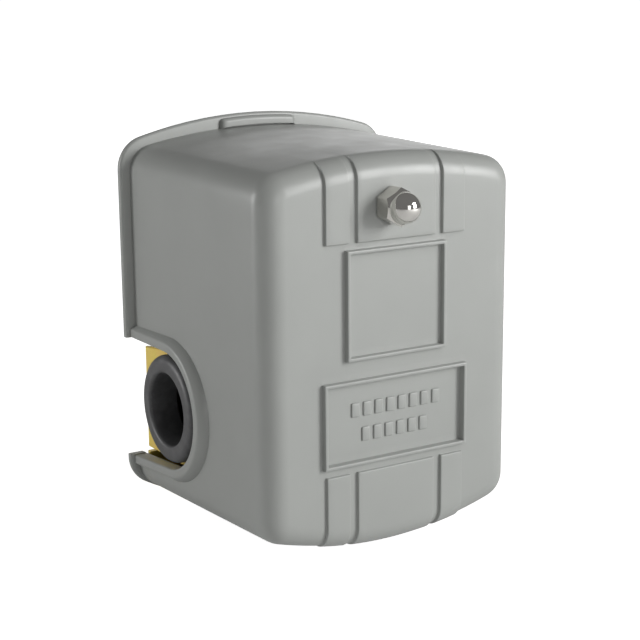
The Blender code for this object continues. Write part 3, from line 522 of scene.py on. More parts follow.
def cover_sections(front, edge, inset, columns, rows, steps, rear, walls):
    """(four lists, height, share of the relief) from the rear to the front."""
    made = []
    start = front - edge
    for k in range(walls + 1):
        height = rear + (start - rear) * k / walls
        made.append((cover_section(height, inset, columns, rows), height, 0.0))
    for angle in quarter(steps)[1:]:
        height = start + edge * math.sin(angle)
        more = edge * (1 - math.cos(angle))
        made.append((cover_section(height, inset, columns, rows, more), height, 1.0))
    return made


def block_mesh(sections, raised):
    """The closed block through the sections, with the relief on its front."""
    vertices = []
    faces = []

    def add_point(x, y, height, share):
        lift = relief(x, y) * share if raised else 0.0
        vertices.append((x, y + COVER_Y, height + lift))
        return len(vertices) - 1

    rings = []
    for ring, height, share in sections:
        rings.append([add_point(x, y, height, share) for x, y in once_round(ring)])
    count = len(rings[0])
    for lower, upper in zip(rings, rings[1:]):
        for i in range(count):
            j = (i + 1) % count
            faces.append((lower[i], lower[j], upper[j], upper[i]))
    faces.append(rings[0][::-1])
    (top, right, bottom, _), height, share = sections[-1]
    across_count, down_count = len(top), len(right)
    last = rings[-1]
    grid = [last[:across_count]]
    for j in range(down_count):
        y = right[j][1]
        t = (j + 1) / (down_count + 1)
        row = [last[2 * across_count + 2 * down_count - 1 - j]]
        for i in range(1, across_count - 1):
            x = top[i][0] + (bottom[i][0] - top[i][0]) * t
            row.append(add_point(x, y, height, share))
        row.append(last[across_count + j])
        grid.append(row)
    grid.append(last[across_count + down_count : 2 * across_count + down_count][::-1])
    for upper, lower in zip(grid, grid[1:]):
        for i in range(across_count - 1):
            faces.append((upper[i], lower[i], lower[i + 1], upper[i + 1]))
    return mesh_of("block", vertices, faces)


def entry_path(radius, rear):
    """A U about a cable entry, open to the rear, whose lower leg slopes outwards."""
    legs, steps = 6, 40
    bow = arc((ENTRY_Y, ENTRY_Z), radius, 0, math.pi, steps)
    first = [(ENTRY_Y + radius, rear + (ENTRY_Z - rear) * k / legs) for k in range(legs)]
    low, high = (ENTRY_Y - radius, ENTRY_Z), (ENTRY_Y - radius - CUTOUT_FLARE, rear)
    last = [
        (low[0] + (high[0] - low[0]) * k / legs, low[1] + (high[1] - low[1]) * k / legs)
        for k in range(1, legs + 1)
    ]
    return first + bow + last


def entry_cutter(radius):
    """What cuts a cable entry of that radius out of both sides."""
    far = FLANGE_HALF_WIDTH + 5 * MM
    path = entry_path(radius, COVER_REAR - 5 * MM)
    return loft_mesh([(path, -far), (path, far)], across)


def band_mesh(paths, place, closed):
    """A solid band: paths holds one path for each point of its closed profile."""
    count = len(paths[0][0])
    vertices = [place(a, b, depth) for path, depth in paths for a, b in path]
    faces = []
    around = len(paths)
    for p in range(around):
        q = (p + 1) % around
        for i in range(count if closed else count - 1):
            j = (i + 1) % count
            faces.append((p * count + i, p * count + j, q * count + j, q * count + i))
    if not closed:
        faces.append([p * count for p in range(around)])
        faces.append([p * count + count - 1 for p in range(around)][::-1])
    return mesh_of("band", vertices, faces)


def lip_mesh(side):
    """The raised lip round a side cutout: a rounded inner edge, a land and a slope to the wall."""
    root, soft = COVER_HALF_WIDTH - COVER_WALL + 0.1 * MM, 0.5 * MM
    wall = COVER_HALF_WIDTH - 1.1 * MM
    profile = [(0, root), (0, LIP_FACE_X - soft)]
    profile += [(soft - x, LIP_FACE_X - soft + y) for x, y in arc((0, 0), soft, 0, math.pi / 2, 4)][1:]
    profile += [(LIP_LAND - 0.4 * MM, LIP_FACE_X), (LIP_LAND - 0.1 * MM, LIP_FACE_X - 0.05 * MM)]
    profile += [(LIP_LAND + 0.2 * MM, LIP_FACE_X - 0.22 * MM)]
    profile += [(LIP_LAND + LIP_SLOPE, wall), (LIP_LAND + LIP_SLOPE, root)]
    paths = [(entry_path(CUTOUT_RADIUS + offset, COVER_REAR), side * x) for offset, x in profile]
    return band_mesh(paths, across, closed=False)


def flange_path(drop):
    """The flange's outline, moved inwards by drop."""
    columns = [k * 5 * MM for k in range(-5, 6)]
    half_width, half_height = FLANGE_HALF_WIDTH - drop, FLANGE_HALF_HEIGHT - drop
    arches = [radius - drop for radius in FLANGE_ARCHES]
    corner, rows = FLANGE_CORNER - drop, [30 * MM, 0, -30 * MM]
    return once_round(arched_ring(half_width, half_height, arches, corner, columns, rows))


def on_cover(x, y, height):
    return (x, y + COVER_Y, height)


def flange_mesh():
    soft, inner = 0.8 * MM, 4.4 * MM
    low, high = COVER_REAR, COVER_REAR + FLANGE_THICKNESS
    profile = [(inner, low), (soft, low)]
    profile += [(soft - x, low + soft - y) for x, y in arc((0, 0), soft, math.pi / 2, 0, 4)][1:]
    profile += [(soft - x, high - soft + y) for x, y in arc((0, 0), soft, 0, math.pi / 2, 4)]
    profile += [(inner, high)]
    ring = band_mesh([(flange_path(drop), z) for drop, z in profile], on_cover, closed=True)
    return combined(ring, cuts=[entry_cutter(CUTOUT_RADIUS + 0.04 * MM)])


def bead_mesh(side):
    """The thicker stretch in the middle of the flange's top or bottom, with rounded ends."""
    arch = FLANGE_ARCHES[0 if side > 0 else 1]
    steps, soft, inset, taper, sunk = 36, 1.5 * MM, 0.8 * MM, 0.6 * MM, 0.35 * MM
    vertices = []
    # Across the bead: how far in, in millimetres, and the share of its height
    profile = [(0, 0), (0, 0.6), (0.12, 0.8), (0.35, 0.92), (0.75, 0.99)]
    profile += [(1.1, 1.0), (2.2, 1.0), (2.2, 0)]
    for k in range(steps + 1):
        x = BEAD_HALF_LENGTH * math.sin(math.pi / 2 * (2 * k / steps - 1))
        left = max(0.0, BEAD_HALF_LENGTH - abs(x))
        grown = math.sqrt(max(0.0, 1 - (1 - min(1.0, left / soft)) ** 2))
        for drop, share in profile:
            radius = arch - (inset + drop * MM + (1 - grown) * taper)
            y = FLANGE_HALF_HEIGHT - arch + math.sqrt(radius**2 - x**2)
            tall = BEAD_THICKNESS * (0.55 + 0.45 * grown) - sunk
            vertices.append(on_cover(x, side * y, COVER_REAR + sunk + tall * share))
    return stacked_mesh("bead", vertices, len(profile))


def make_cover():
    columns, rows = front_columns(), front_rows()
    sections = cover_sections(COVER_FRONT, COVER_EDGE, 0.0, columns, rows, 9, COVER_REAR, 3)
    outer = block_mesh(sections, True)
    columns, rows = [k * 7 * MM for k in range(-3, 4)], [29 * MM, 0, -29 * MM]
    front, edge = COVER_FRONT - COVER_WALL - LABEL_DROP, COVER_EDGE - COVER_WALL
    sections = cover_sections(front, edge, COVER_WALL, columns, rows, 5, COVER_REAR - 5 * MM, 1)
    core = block_mesh(sections, False)
    nut_hole = cylinder_mesh(32, 2.9 * MM, 80 * MM, 95 * MM, RANGE)
    shell = combined(outer, cuts=[core, entry_cutter(CUTOUT_RADIUS + 0.7 * MM), nut_hole])
    piece("cover_shell", shell, "cover", "grey_plastic", "cover", sharp=COVER_SMOOTH_ANGLE)
    piece("cover_flange", flange_mesh(), "cover", "grey_plastic")
    for side, name in SIDES:
        piece(f"cover_lip_{name}", lip_mesh(side), "cover", "grey_plastic")
    for side, name in ((1, "top"), (-1, "bottom")):
        piece(f"cover_bead_{name}", bead_mesh(side), "cover", "grey_plastic")
    make_label_bars()


def make_label_bars():
    """Two rows of plain raised bars in the label frame's field."""
    floor = COVER_FRONT - LABEL_DROP
    pitch, half_width, half_height = 3.35 * MM, 1.15 * MM, 1.75 * MM
    bars = []
    for y, count, middle in ((-12.4 * MM, 8, 0.4 * MM), (-18.6 * MM, 6, 0.0)):
        for k in range(count):
            x = middle + (k - (count - 1) / 2) * pitch
            low = (x - half_width, y - half_height + COVER_Y, floor - 0.4 * MM)
            bars.append((low, (x + half_width, y + half_height + COVER_Y, floor + 0.42 * MM)))
    piece("label_bars", rounded(box_mesh(*bars), 0.3 * MM), "cover", "grey_plastic")


# ---------------------------------------------------------------- nut and grommets


def hexagon(flats, corner, centre):
    """A hexagon's outline from its width across flats, with rounded corners."""
    half = math.pi / 6
    inner = (flats / 2 - corner) / math.cos(half)
    points = []
    for k in range(6):
        a = math.radians(90 + 60 * k)
        bend = (centre[0] + inner * math.cos(a), centre[1] + inner * math.sin(a))
        points += arc(bend, corner, a - half, a + half, 3)
    return points


def nut_blank(flats, low, high, place, chamfer_top=True, chamfer_bottom=True):
    """A hexagon with rounded corners and turned chamfers."""
    outline = hexagon(flats, 0.04 * flats, place)
    body = loft_mesh([(outline, low), (outline, high)], upright)
    corner, drop, touch = flats / math.sqrt(3), 0.09 * flats, 0.48 * flats
    wide, far = corner + 0.02 * flats, 2 * MM
    profile = [(0, high + far)]
    profile += [(touch, high + HAIR), (wide, high - drop)] if chamfer_top else [(wide, high + far)]
    profile += [(wide, low + drop), (touch, low - HAIR)] if chamfer_bottom else [(wide, low - far)]
    profile += [(0, low - far)]
    return combined(body, meets=[turned_mesh(profile, (*place, 0), sides=96)])


def make_cap_nut():
    seat = COVER_FRONT + PAD_RELIEF + 0.3 * MM
    dome_radius, hex_top = 3.7 * MM, seat + 4.55 * MM
    middle = hex_top + 1.05 * MM
    dome = [(dome_radius * math.sin(a), middle + dome_radius * math.cos(a)) for a in quarter(16)]
    dome += points_at(hex_top, (3.7, 0.25), (3.9, -0.05), (3.9, -1), (0, -1))
    mesh = combined(
        nut_blank(8 * MM, seat, hex_top, RANGE, chamfer_bottom=False),
        joins=[turned_mesh(dome, (*RANGE, 0), sides=96)],
        cuts=[cylinder_mesh(32, 2.8 * MM, seat - MM, STUD_TOP + 0.5 * MM, RANGE)],
    )
    piece("domed_nut", mesh, "cap_nut", "bright_steel", "cap_nut")


def at_entry(profile, side, ring=False):
    """A profile turned about a cable entry's axis, outwards on its side."""
    return turned_mesh(profile, (0, ENTRY_Y, ENTRY_Z), "X" if side > 0 else "-X", 96, ring)


def make_grommets():
    """Bushings with a rounded face, whose groove holds the edge of the side tab's hole."""
    face, back = 38.85 * MM, 30.45 * MM
    bore, outer, inner_soft, outer_soft = 9.3 * MM, 13.85 * MM, 0.9 * MM, 1.9 * MM
    profile = arc((bore + inner_soft, face - inner_soft), inner_soft, math.pi, math.pi / 2, 6)
    profile += arc((outer - outer_soft, face - outer_soft), outer_soft, math.pi / 2, 0, 9)
    profile += points_at(TAB_FACE_X + 0.2 * MM, (13.85, 0.2), (13.65, 0), (10.9, 0))
    inside = TAB_FACE_X - PLATE_THICKNESS - 0.2 * MM
    profile += points_at(inside, (10.9, 0), (12.6, 0), (12.8, -0.3))
    profile += points_at(back, (12.6, 1), (12, 0.3), (11.4, 0), (9.8, 0), (9.3, 0.5))
    for side, name in SIDES:
        mesh = at_entry(profile, side, ring=True)
        piece(f"bushing_{name}", mesh, "base", "black_rubber", f"grommet_{name}")


# ---------------------------------------------------------------- base plate and pressure housing


def make_base_plate():
    columns = [k * 6 * MM for k in range(-3, 4)]
    rows = [25 * MM, 0, -25 * MM]

    def outline(inset):
        return once_round(cover_section(PLATE_BOTTOM, PLATE_INSET + inset, columns, rows))

    plate = softened_slab(outline, PLATE_BOTTOM, PLATE_TOP, 0.25 * MM, on_cover)
    half = TAB_RADIUS + 1.5 * MM
    notches = []
    for side, _ in SIDES:
        inner = (side * (TAB_FACE_X - 3.7 * MM), ENTRY_Y - half, PLATE_BOTTOM - MM)
        notches.append((inner, (side * 40 * MM, ENTRY_Y + half, PLATE_TOP + MM)))
    plate = combined(plate, cuts=[box_mesh(*notches)])
    plate = combined(plate, joins=[made(side) for made in (tab_mesh, ear_mesh) for side, _ in SIDES])
    low, high = PLATE_BOTTOM - 3 * MM, PLATE_TOP + 3 * MM
    holes = [(PISTON_WINDOW, 96, (0, 0)), (2.8 * MM, 40, RANGE), (2.3 * MM, 32, DIFFERENTIAL)]
    holes += [(2.3 * MM, 32, place) for place in housing_screw_places()]
    holes += [(1.9 * MM, 32, place) for place in (*both_sides(FOOT_SCREW), *both_sides(GROUND_SCREW))]
    cutters = [cylinder_mesh(sides, radius, low, high, place) for radius, sides, place in holes]
    plate = combined(plate, cuts=cutters)
    piece("mounting_plate", plate, "base", "zinc_yellow", "base_plate")


def both_sides(place):
    x, y = place
    return [(-x, y), (x, y)]


def housing_screw_places():
    across_x = HOUSING_SCREW_CIRCLE * math.cos(HOUSING_SCREW_ANGLE)
    along_y = HOUSING_SCREW_CIRCLE * math.sin(HOUSING_SCREW_ANGLE)
    return [(x * across_x, y * along_y) for x in (-1, 1) for y in (-1, 1)]


def tab_path(radius, rear):
    """A side tab's outline: round about its entry. Its upper edge tapers towards the bend."""
    bow = arc((ENTRY_Y, ENTRY_Z), radius, -TAB_TAPER, math.pi, 48)
    narrowing = (bow[0][1] - rear) * math.tan(TAB_TAPER)
    return [(bow[0][0] - narrowing, rear), *bow, (bow[-1][0], rear)]


def tab_mesh(side):
    """One side tab, bent up from the plate, with rounded rims and a round hole for its bushing."""
    face, inner = TAB_FACE_X, TAB_FACE_X - PLATE_THICKNESS
    bend_x, bend_z = face - BEND_OUTER, PLATE_BOTTOM + BEND_OUTER
    half = TAB_RADIUS + MM
    top = ENTRY_Z + half
    section = [(bend_x - 4 * MM, PLATE_BOTTOM)]
    section += arc((bend_x, bend_z), BEND_OUTER, math.radians(-90), 0, 10)
    section += [(face, top), (inner, top)]
    section += arc((bend_x, bend_z), BEND_OUTER - PLATE_THICKNESS, 0, math.radians(-90), 8)
    section += [(bend_x - 4 * MM, PLATE_TOP)]

    def place(x, z, y):
        return (side * x, y, z)

    strip = loft_mesh([(section, ENTRY_Y - half), (section, ENTRY_Y + half)], place)
    rear, soft, clear = PLATE_BOTTOM - 3 * MM, 0.3 * MM, 10 * HAIR
    depths = [(0, 0.0), (0, inner - 2 * MM), (soft, inner - clear), (0, inner + soft)]
    depths += [(0, face - soft), (soft, face + clear)]
    rims = [(tab_path(TAB_RADIUS - inset, rear), side * x) for inset, x in depths]
    strip = combined(strip, meets=[loft_mesh(rims, across)])
    flared = TAB_HOLE + MM
    hole = [(0, inner - MM), (flared, inner - MM), (TAB_HOLE, inner + 0.2 * MM)]
    hole += [(TAB_HOLE, face - 0.2 * MM), (flared, face + 0.8 * MM), (0, face + 0.8 * MM)]
    return combined(strip, cuts=[at_entry(hole, side)])


def ear_mesh(side):
    """An upright ear for the lever's pin."""
    radius, foot = 4 * MM, PLATE_BOTTOM + 0.4 * MM

    def outline(inset):
        points = [(PIVOT_Y + radius - inset, foot)]
        points += arc((PIVOT_Y, PIVOT_Z), radius - inset, 0, math.pi, 24)
        return points + [(PIVOT_Y - radius + inset, foot)]

    return pivot_plate(outline, side * EAR_X, side * (EAR_X + PLATE_THICKNESS))


def pivot_plate(outline, one, other):
    """An upright plate between two x, with rounded rims and a bore for the pivot pin."""
    low, high = sorted((one, other))
    plate = softened_slab(outline, low, high, 0.2 * MM, across)
    bore = bore_mesh(PIVOT_BORE, -MM, high - low + MM, (low, PIVOT_Y, PIVOT_Z), 32)
    return combined(plate, cuts=[bore])


def make_housing():
    """The cast housing: a hexagonal port, a ribbed neck and the flange, with its passage and thread."""
    flange, lip, top = HOUSING_FLANGE, HOUSING_LIP, HOUSING_TOP
    soft, hollow = 0.9 * MM, 1.6 * MM
    profile = [(0, top), (flange - 0.6 * MM, top), (flange, top - 0.6 * MM), (flange, lip + soft)]
    profile += arc((flange - soft, lip + soft), soft, 0, math.radians(-90), 5)[1:]
    profile += arc((17.6 * MM, lip - hollow), hollow, math.radians(90), math.radians(180), 6)
    profile += points_at(0, (15.4, 12.9), (14.2, 11.8), (12, 10.6), (10.4, 9.9), (10, 9.2))
    profile += points_at(0, (10, 2), (0, 2))
    body = turned_mesh(profile, sides=128)
    ribs = [rib_mesh(index * 60) for index in range(6)]
    hex_top, corner = PORT_HEX_HEIGHT, PORT_HEX / math.sqrt(3)
    wide = corner + 0.1 * MM
    outline = hexagon(PORT_HEX, MM, (0, 0))
    port = loft_mesh([(outline, 0.02 * MM), (outline, hex_top)], upright)
    rounding = [(0, hex_top + MM), (corner - 1.2 * MM, hex_top + 0.4 * MM), (wide, hex_top - 0.6 * MM)]
    rounding += [(wide, 0.9 * MM), (corner - 0.6 * MM, 0.35 * MM), (corner - 1.9 * MM, -HAIR)]
    rounding.append((0, -HAIR))
    port = combined(port, meets=[turned_mesh(rounding, sides=96)])
    drill, mouth_width = PORT_RADIUS - 0.4 * MM, PORT_RADIUS + 1.3 * MM
    passage = points_at(top, (0, 1), (12, 1), (12, -1.4), (11.4, -1.7), (3.4, -2.4), (3, -2.8))
    passage += [(3 * MM, PORT_DEPTH + 1.4 * MM), (drill, PORT_DEPTH), (drill, 2 * MM), (0, 2 * MM)]
    mouth = [(0, 2.5 * MM), (PORT_RADIUS - 0.2 * MM, 2.5 * MM), (mouth_width, -0.3 * MM), (0, -0.3 * MM)]
    thread_radius, thread_end, pitch = PORT_RADIUS + 0.55 * MM, PORT_DEPTH - 0.8 * MM, 1.41 * MM
    thread = thread_mesh(
        thread_radius, 0.4 * MM, thread_end, pitch, 0.8 * MM, (0, 0), sides=64, rows_per_turn=8
    )
    low, high = lip - 6 * MM, top + 2 * MM
    cuts = [turned_mesh(passage), turned_mesh(mouth), thread]
    cuts += [cylinder_mesh(32, 2.3 * MM, low, high, place) for place in housing_screw_places()]
    housing = combined(body, joins=[port, *ribs])
    for cutter in cuts:
        housing = combined(housing, cuts=[cutter])
    piece("port_housing", housing, "base", "cast_metal", "pressure_housing")


def rib_mesh(degrees):
    """A cast rib from the housing's neck to its flange."""
    half, root, upper = 1.0 * MM, 9 * MM, HOUSING_LIP + 1.5 * MM

    def outline(inset):
        foot, tip = 9.6 * MM + inset, 20 * MM - inset
        points = [(root, foot), (11.5 * MM - inset, foot), (tip, HOUSING_LIP + 0.2 * MM)]
        return points + [(tip, upper), (root, upper)]

    def place(r, z, side):
        return (r, side, z)

    mesh = softened_slab(outline, -half, half, 0.35 * MM, place)
    mesh.transform(Matrix.Rotation(math.radians(degrees), 4, "Z"))
    return mesh


# ---------------------------------------------------------------- screws, studs and pins


def threaded_shank(place, radius, low, high, pitch):
    """A screw's shank, whose thread is as deep as its pitch and its radius allow."""
    depth = 0.32 * pitch + 0.14 * radius
    return thread_mesh(radius, low, high, pitch, depth, place, sides=20, rows_per_turn=6)


def make_housing_screws():
    """Hexagon-head screws, put in from under the flange, with a washer face."""
    head_top = HOUSING_LIP - 0.3 * MM
    head_low, flats = head_top - 2.8 * MM, 6.7 * MM
    dish = points_at(head_low, (0, 0.4), (1.6, 0.2), (2.3, -0.2))
    washer = points_at(head_top, (0, 0), (3.75, 0), (3.85, -0.15), (3.8, -0.45), (0, -0.6))
    for index, place in enumerate(housing_screw_places(), 1):
        head = nut_blank(flats, head_low, head_top - 0.3 * MM, place, chamfer_top=False)
        shank = threaded_shank(place, 2 * MM, head_top - MM, 28 * MM, 0.8 * MM)
        joins = [turned_mesh(washer, (*place, 0), sides=48), shank]
        screw = combined(head, joins=joins, cuts=[turned_mesh(dish, (*place, 0), sides=32)])
        piece(f"flange_screw_{index}", screw, "base", "plain_zinc", f"housing_screw_{index}")


def make_stud(prefix, place, radius, collar, top, pitch, riveted):
    """A threaded stud with a collar on the plate. A riveted one also has a head under it."""
    low = PLATE_TOP + 0.3 * MM
    shoulder, soft, core = low + 2.2 * MM, 0.25 * MM, radius * 0.8
    profile = [(0, shoulder + 2 * MM), (core, shoulder + 2 * MM), (core, shoulder)]
    profile += [(collar - soft, shoulder), (collar, shoulder - soft), (collar, low + soft)]
    profile += [(collar - soft, low), (radius, low)]
    if riveted:
        under = PLATE_BOTTOM - 0.3 * MM
        profile.append((radius, under))
        profile += points_at(under, (3.6, 0), (3.8, -0.25), (3.5, -0.8), (2.4, -1.15), (0, -1.2))
    else:
        end = PLATE_BOTTOM + 0.1 * MM
        profile += [(radius, end + soft), (radius - soft, end), (0, end)]
    body = turned_mesh(profile, (*place, 0), sides=48)
    depth = 0.55 * pitch
    rod = thread_mesh(radius, shoulder - MM, top, pitch, depth, place, sides=20, rows_per_turn=5)
    piece(f"{prefix}_rod", combined(body, joins=[rod]), "base", "plain_zinc", f"{prefix}_stud")


def make_pin(name, node, radius, head, half_length, y, z):
    """A pin along x, with domed heads."""
    neck, bulge = half_length - 0.8 * MM, 0.35 * MM
    right = [(head * math.sin(a), half_length - bulge + bulge * math.cos(a)) for a in quarter(6)]
    right += [(head, neck + 0.1 * MM), (head - 0.1 * MM, neck), (radius, neck)]
    profile = right + [(r, -x) for r, x in reversed(right)]
    piece(name, turned_mesh(profile, (0, y, z), "X", sides=40), "base", "plain_zinc", node)


def make_adjuster(prefix, place, coil_radius, wire, spring_top, turns, bore, flats):
    """A coil spring on the lever, the cup washer on top of it, and the nut that loads it."""
    make_spring(prefix, place, coil_radius, wire, LEVER_TOP + 0.3 * MM, spring_top, turns)
    low = spring_top + 0.3 * MM
    top = low + 1.4 * MM
    reach, soft, rim = coil_radius + wire + 0.6 * MM, 0.5 * MM, top - 0.2 * MM
    hub = coil_radius - wire - 0.3 * MM
    profile = [(bore + 0.25 * MM, top), (hub - 0.6 * MM, top - 0.05 * MM)]
    profile += [(hub + 0.3 * MM, rim), (reach - soft, rim)]
    profile += arc((reach - soft, rim - soft), soft, math.radians(90), 0, 5)[1:]
    profile += [(reach, low + 0.15 * MM), (reach - 0.15 * MM, low), (hub, low)]
    profile += [(hub - 0.7 * MM, low - 1.5 * MM), (hub - MM, low - 1.6 * MM)]
    profile += [(bore, low - 1.6 * MM), (bore, top - 0.25 * MM)]
    washer = turned_mesh(profile, (*place, 0), sides=80, ring=True)
    node = f"{prefix}_spring_seat"
    piece(f"{prefix}_cup_washer", washer, f"{prefix}_seat", "plain_zinc", node)
    low = top + 0.3 * MM
    high = low + 0.55 * flats
    sink = [(0, high + MM), (bore + 1.4 * MM, high + MM), (bore, high - 0.4 * MM)]
    sink += [(bore, low - MM), (0, low - MM)]
    sink = turned_mesh(sink, (*place, 0), sides=48)
    nut = combined(nut_blank(flats, low, high, place), cuts=[sink])
    piece(f"{prefix}_hex_nut", nut, f"{prefix}_nut", "plain_zinc", f"{prefix}_nut")


def coil_points(radius, wire, low, high, turns, per_turn=32):
    """A compression spring's path, whose end turns lie flat."""
    low, high, lead = low + wire, high - wire, 2.2 * wire
    points = []
    steps = round(turns * per_turn)
    for i in range(steps + 1):
        turn = turns * i / steps
        if turn < 1:
            height = low + lead * turn
        elif turn > turns - 1:
            height = high - lead * (turns - turn)
        else:
            height = low + lead + (turn - 1) / (turns - 2) * (high - low - 2 * lead)
        angle = 2 * math.pi * turn
        points.append((radius * math.cos(angle), radius * math.sin(angle), height))
    return points


def make_spring(prefix, place, radius, wire, low, high, turns):
    """The spring in two halves, a lower and an upper, neither riding on a body."""
    coil = coil_points(radius, wire, low, high, turns)
    points = [(place[0] + x, place[1] + y, z) for x, y, z in coil]
    middle = len(points) // 2
    foot, centre, top = (to_row((*place, z)) for z in (low, points[middle][2], high))
    mesh = tube_mesh(points[: middle + 1], wire, 12)
    lower = piece(f"{prefix}_coil_lower", mesh, None, "spring_steel", f"{prefix}_spring")
    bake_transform(lower)
    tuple(foot)
    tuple(centre)
    upper = piece(f"{prefix}_coil_upper", tube_mesh(points[middle:], wire, 12), None, "spring_steel")
    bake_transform(upper)
    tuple(centre)
    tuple(top)


def to_row(point):
    return tuple(TO_ROW @ Vector(point))


# ---------------------------------------------------------------- lever and piston


def make_lever():
    """The stamped lever: two arms turned down to its pivot, a tongue and a rib along each side."""
    narrow, wide = 17.5 * MM, 22 * MM
    near, shoulder, far, corner = -21.5 * MM, -8 * MM, 38 * MM, 5 * MM

    def outline(inset):
        right = [(narrow - inset, near + inset), (narrow - inset, shoulder - 2.7 * MM)]
        right.append((narrow + 0.5 * MM - inset, shoulder - 1.2 * MM))
        right.append((wide - 0.6 * MM - inset, shoulder + MM))
        right.append((wide - inset, shoulder + 2.2 * MM))
        right += arc((wide - corner, far - corner), corner - inset, 0, math.radians(90), 14)
        return right + [(-x, y) for x, y in reversed(right)]

    plate = softened_slab(outline, LEVER_BOTTOM, LEVER_TOP, 0.22 * MM, upright)
    joins = [arm_mesh(side, near) for side, _ in SIDES]
    low, high = (-4 * MM, near - 1.1 * MM, 26.6 * MM), (4 * MM, near + 0.4 * MM, LEVER_TOP - 0.12 * MM)
    joins.append(soft_box(low, high, 0.25 * MM))
    for side, start in ((-1, 0.0), (1, 14 * MM)):
        low = (side * 18.9 * MM, start, LEVER_TOP - 0.5 * MM)
        joins.append(soft_box(low, (side * 20.5 * MM, 34 * MM, LEVER_TOP + 2 * MM), 0.6 * MM, 4))
    through = (LEVER_BOTTOM - MM, LEVER_TOP + MM)
    cuts = [cylinder_mesh(64, 4.2 * MM, *through, RANGE)]
    cuts.append(cylinder_mesh(48, 3.2 * MM, *through, DIFFERENTIAL))
    mesh = combined(plate, joins=joins, cuts=cuts)
    piece("stamped_lever", mesh, "lever", "plain_zinc", "range_lever")


def arm_mesh(side, near):
    """An arm that hangs from the lever's plate, with a bore for the pivot pin."""
    top = LEVER_TOP - 0.5 * MM

    def outline(inset):
        points = [(-11 * MM - inset, top), (near + inset, top)]
        start, end = math.radians(-160), math.radians(-20)
        return points + arc((PIVOT_Y, PIVOT_Z), 2.7 * MM - inset, start, end, 14)

    return pivot_plate(outline, side * (LEVER_ARM_X - PLATE_THICKNESS), side * LEVER_ARM_X)


def make_piston():
    """The moulded pressure plate, with a ring groove and a rounded nose under the lever."""
    bottom, top = PLATE_BOTTOM, LEVER_BOTTOM - 0.3 * MM
    profile = [(0, top), *arc((4.4 * MM, top - MM), MM, math.radians(90), 0, 6)]
    profile += points_at(bottom, (5.9, 2.7), (6.3, 2.35), (8, 2.15), (8.2, 1.7), (9.2, 1.7))
    profile += points_at(bottom, (9.4, 2.05), (11.6, 1.85), (12.2, 1.5), (12.4, 1), (12.4, 0.2))
    profile += points_at(bottom, (12.2, 0), (0, 0))
    piece("pressure_button", turned_mesh(profile, sides=96), "piston", "moulded_nylon", "piston")


def make_diaphragm():
    """A rubber disc with one shallow convolution."""
    bottom, rise, groove = HOUSING_TOP + 0.3 * MM, 0.35 * MM, 11.5 * MM
    top = bottom + 1.6 * MM
    wave = []
    for k in range(7):
        wave.append((groove + (k / 6 - 1) * MM, -rise * math.sin(math.pi / 2 * k / 6) ** 2))
    wave += [(2 * groove - r, down) for r, down in reversed(wave[:-1])]
    profile = [(0, top), *((r, top + down) for r, down in wave)]
    profile += points_at(top, (24.1, 0), (24.3, -0.2)) + points_at(bottom, (24.3, 0.2), (24.1, 0))
    profile += [(r, bottom + down) for r, down in reversed(wave)] + [(0, bottom)]
    low, high = bottom - 2 * MM, top + 2 * MM
    holes = [cylinder_mesh(24, 2.3 * MM, low, high, place) for place in housing_screw_places()]
    mesh = combined(turned_mesh(profile, sides=96), cuts=holes)
    piece("rubber_disc", mesh, "base", "black_rubber", "diaphragm")


# ---------------------------------------------------------------- terminals and contacts


def carrier_bore():
    return bore_mesh(1.15 * MM, -30 * MM, 30 * MM, (0, CARRIER_Y, CARRIER_Z), 24)


def make_terminal_block():
    """The moulded block: a deck with five barriers, a rear wall, two legs and two screwed feet."""
    half = BLOCK_HALF_LENGTH
    y_low, y_high = -40 * MM, -20 * MM
    deck_low, deck_high = 38 * MM, 43 * MM
    standing = PLATE_TOP + 0.3 * MM
    block = soft_box((-half, y_low, deck_low), (half, y_high, deck_high), 0.35 * MM)
    joins = []
    for index in range(5):
        middle = (index - 2) * TERMINAL_PITCH
        low = (middle - BARRIER_HALF, y_low + 0.2 * MM, deck_high - MM)
        high = (middle + BARRIER_HALF, y_high - 0.2 * MM, BARRIER_TOP)
        joins.append(soft_box(low, high, 0.4 * MM))
    low = (-half + 0.2 * MM, y_high - 2 * MM, deck_high - MM)
    high = (half - 0.2 * MM, y_high - 0.4 * MM, BARRIER_TOP - 1.5 * MM)
    joins.append(soft_box(low, high, 0.35 * MM))
    for side, _ in SIDES:
        low = (side * (half - 3.5 * MM), y_low + 0.1 * MM, standing)
        high = (side * (half - 0.1 * MM), y_high - 0.1 * MM, deck_low + MM)
        joins.append(soft_box(low, high, 0.35 * MM))
        low = (side * 21 * MM, -47 * MM, standing + 0.05 * MM)
        joins.append(soft_box(low, (side * (half - 0.05 * MM), y_low + MM, 28 * MM), 0.6 * MM))
    for x in TERMINAL_X:
        boss = (deck_low - 0.5 * MM, deck_low + MM, (x, TERMINAL_SCREW_Y))
        joins.append(cylinder_mesh(40, 3.4 * MM, *boss))
    holes = [(x, y) for x in TERMINAL_X for y in (TERMINAL_SCREW_Y, CONTACT_Y)]
    low, high = deck_low - 2 * MM, deck_high + MM
    cuts = [cylinder_mesh(32, 2.1 * MM, low, high, place) for place in holes]
    cuts += [cylinder_mesh(32, 1.9 * MM, 20 * MM, 30 * MM, place) for place in both_sides(FOOT_SCREW)]
    for join in joins:
        block = combined(block, joins=[join])
    block = combined(block, cuts=[*cuts, carrier_bore()])
    piece("contact_block", block, "base", "black_phenolic", "terminal_block")


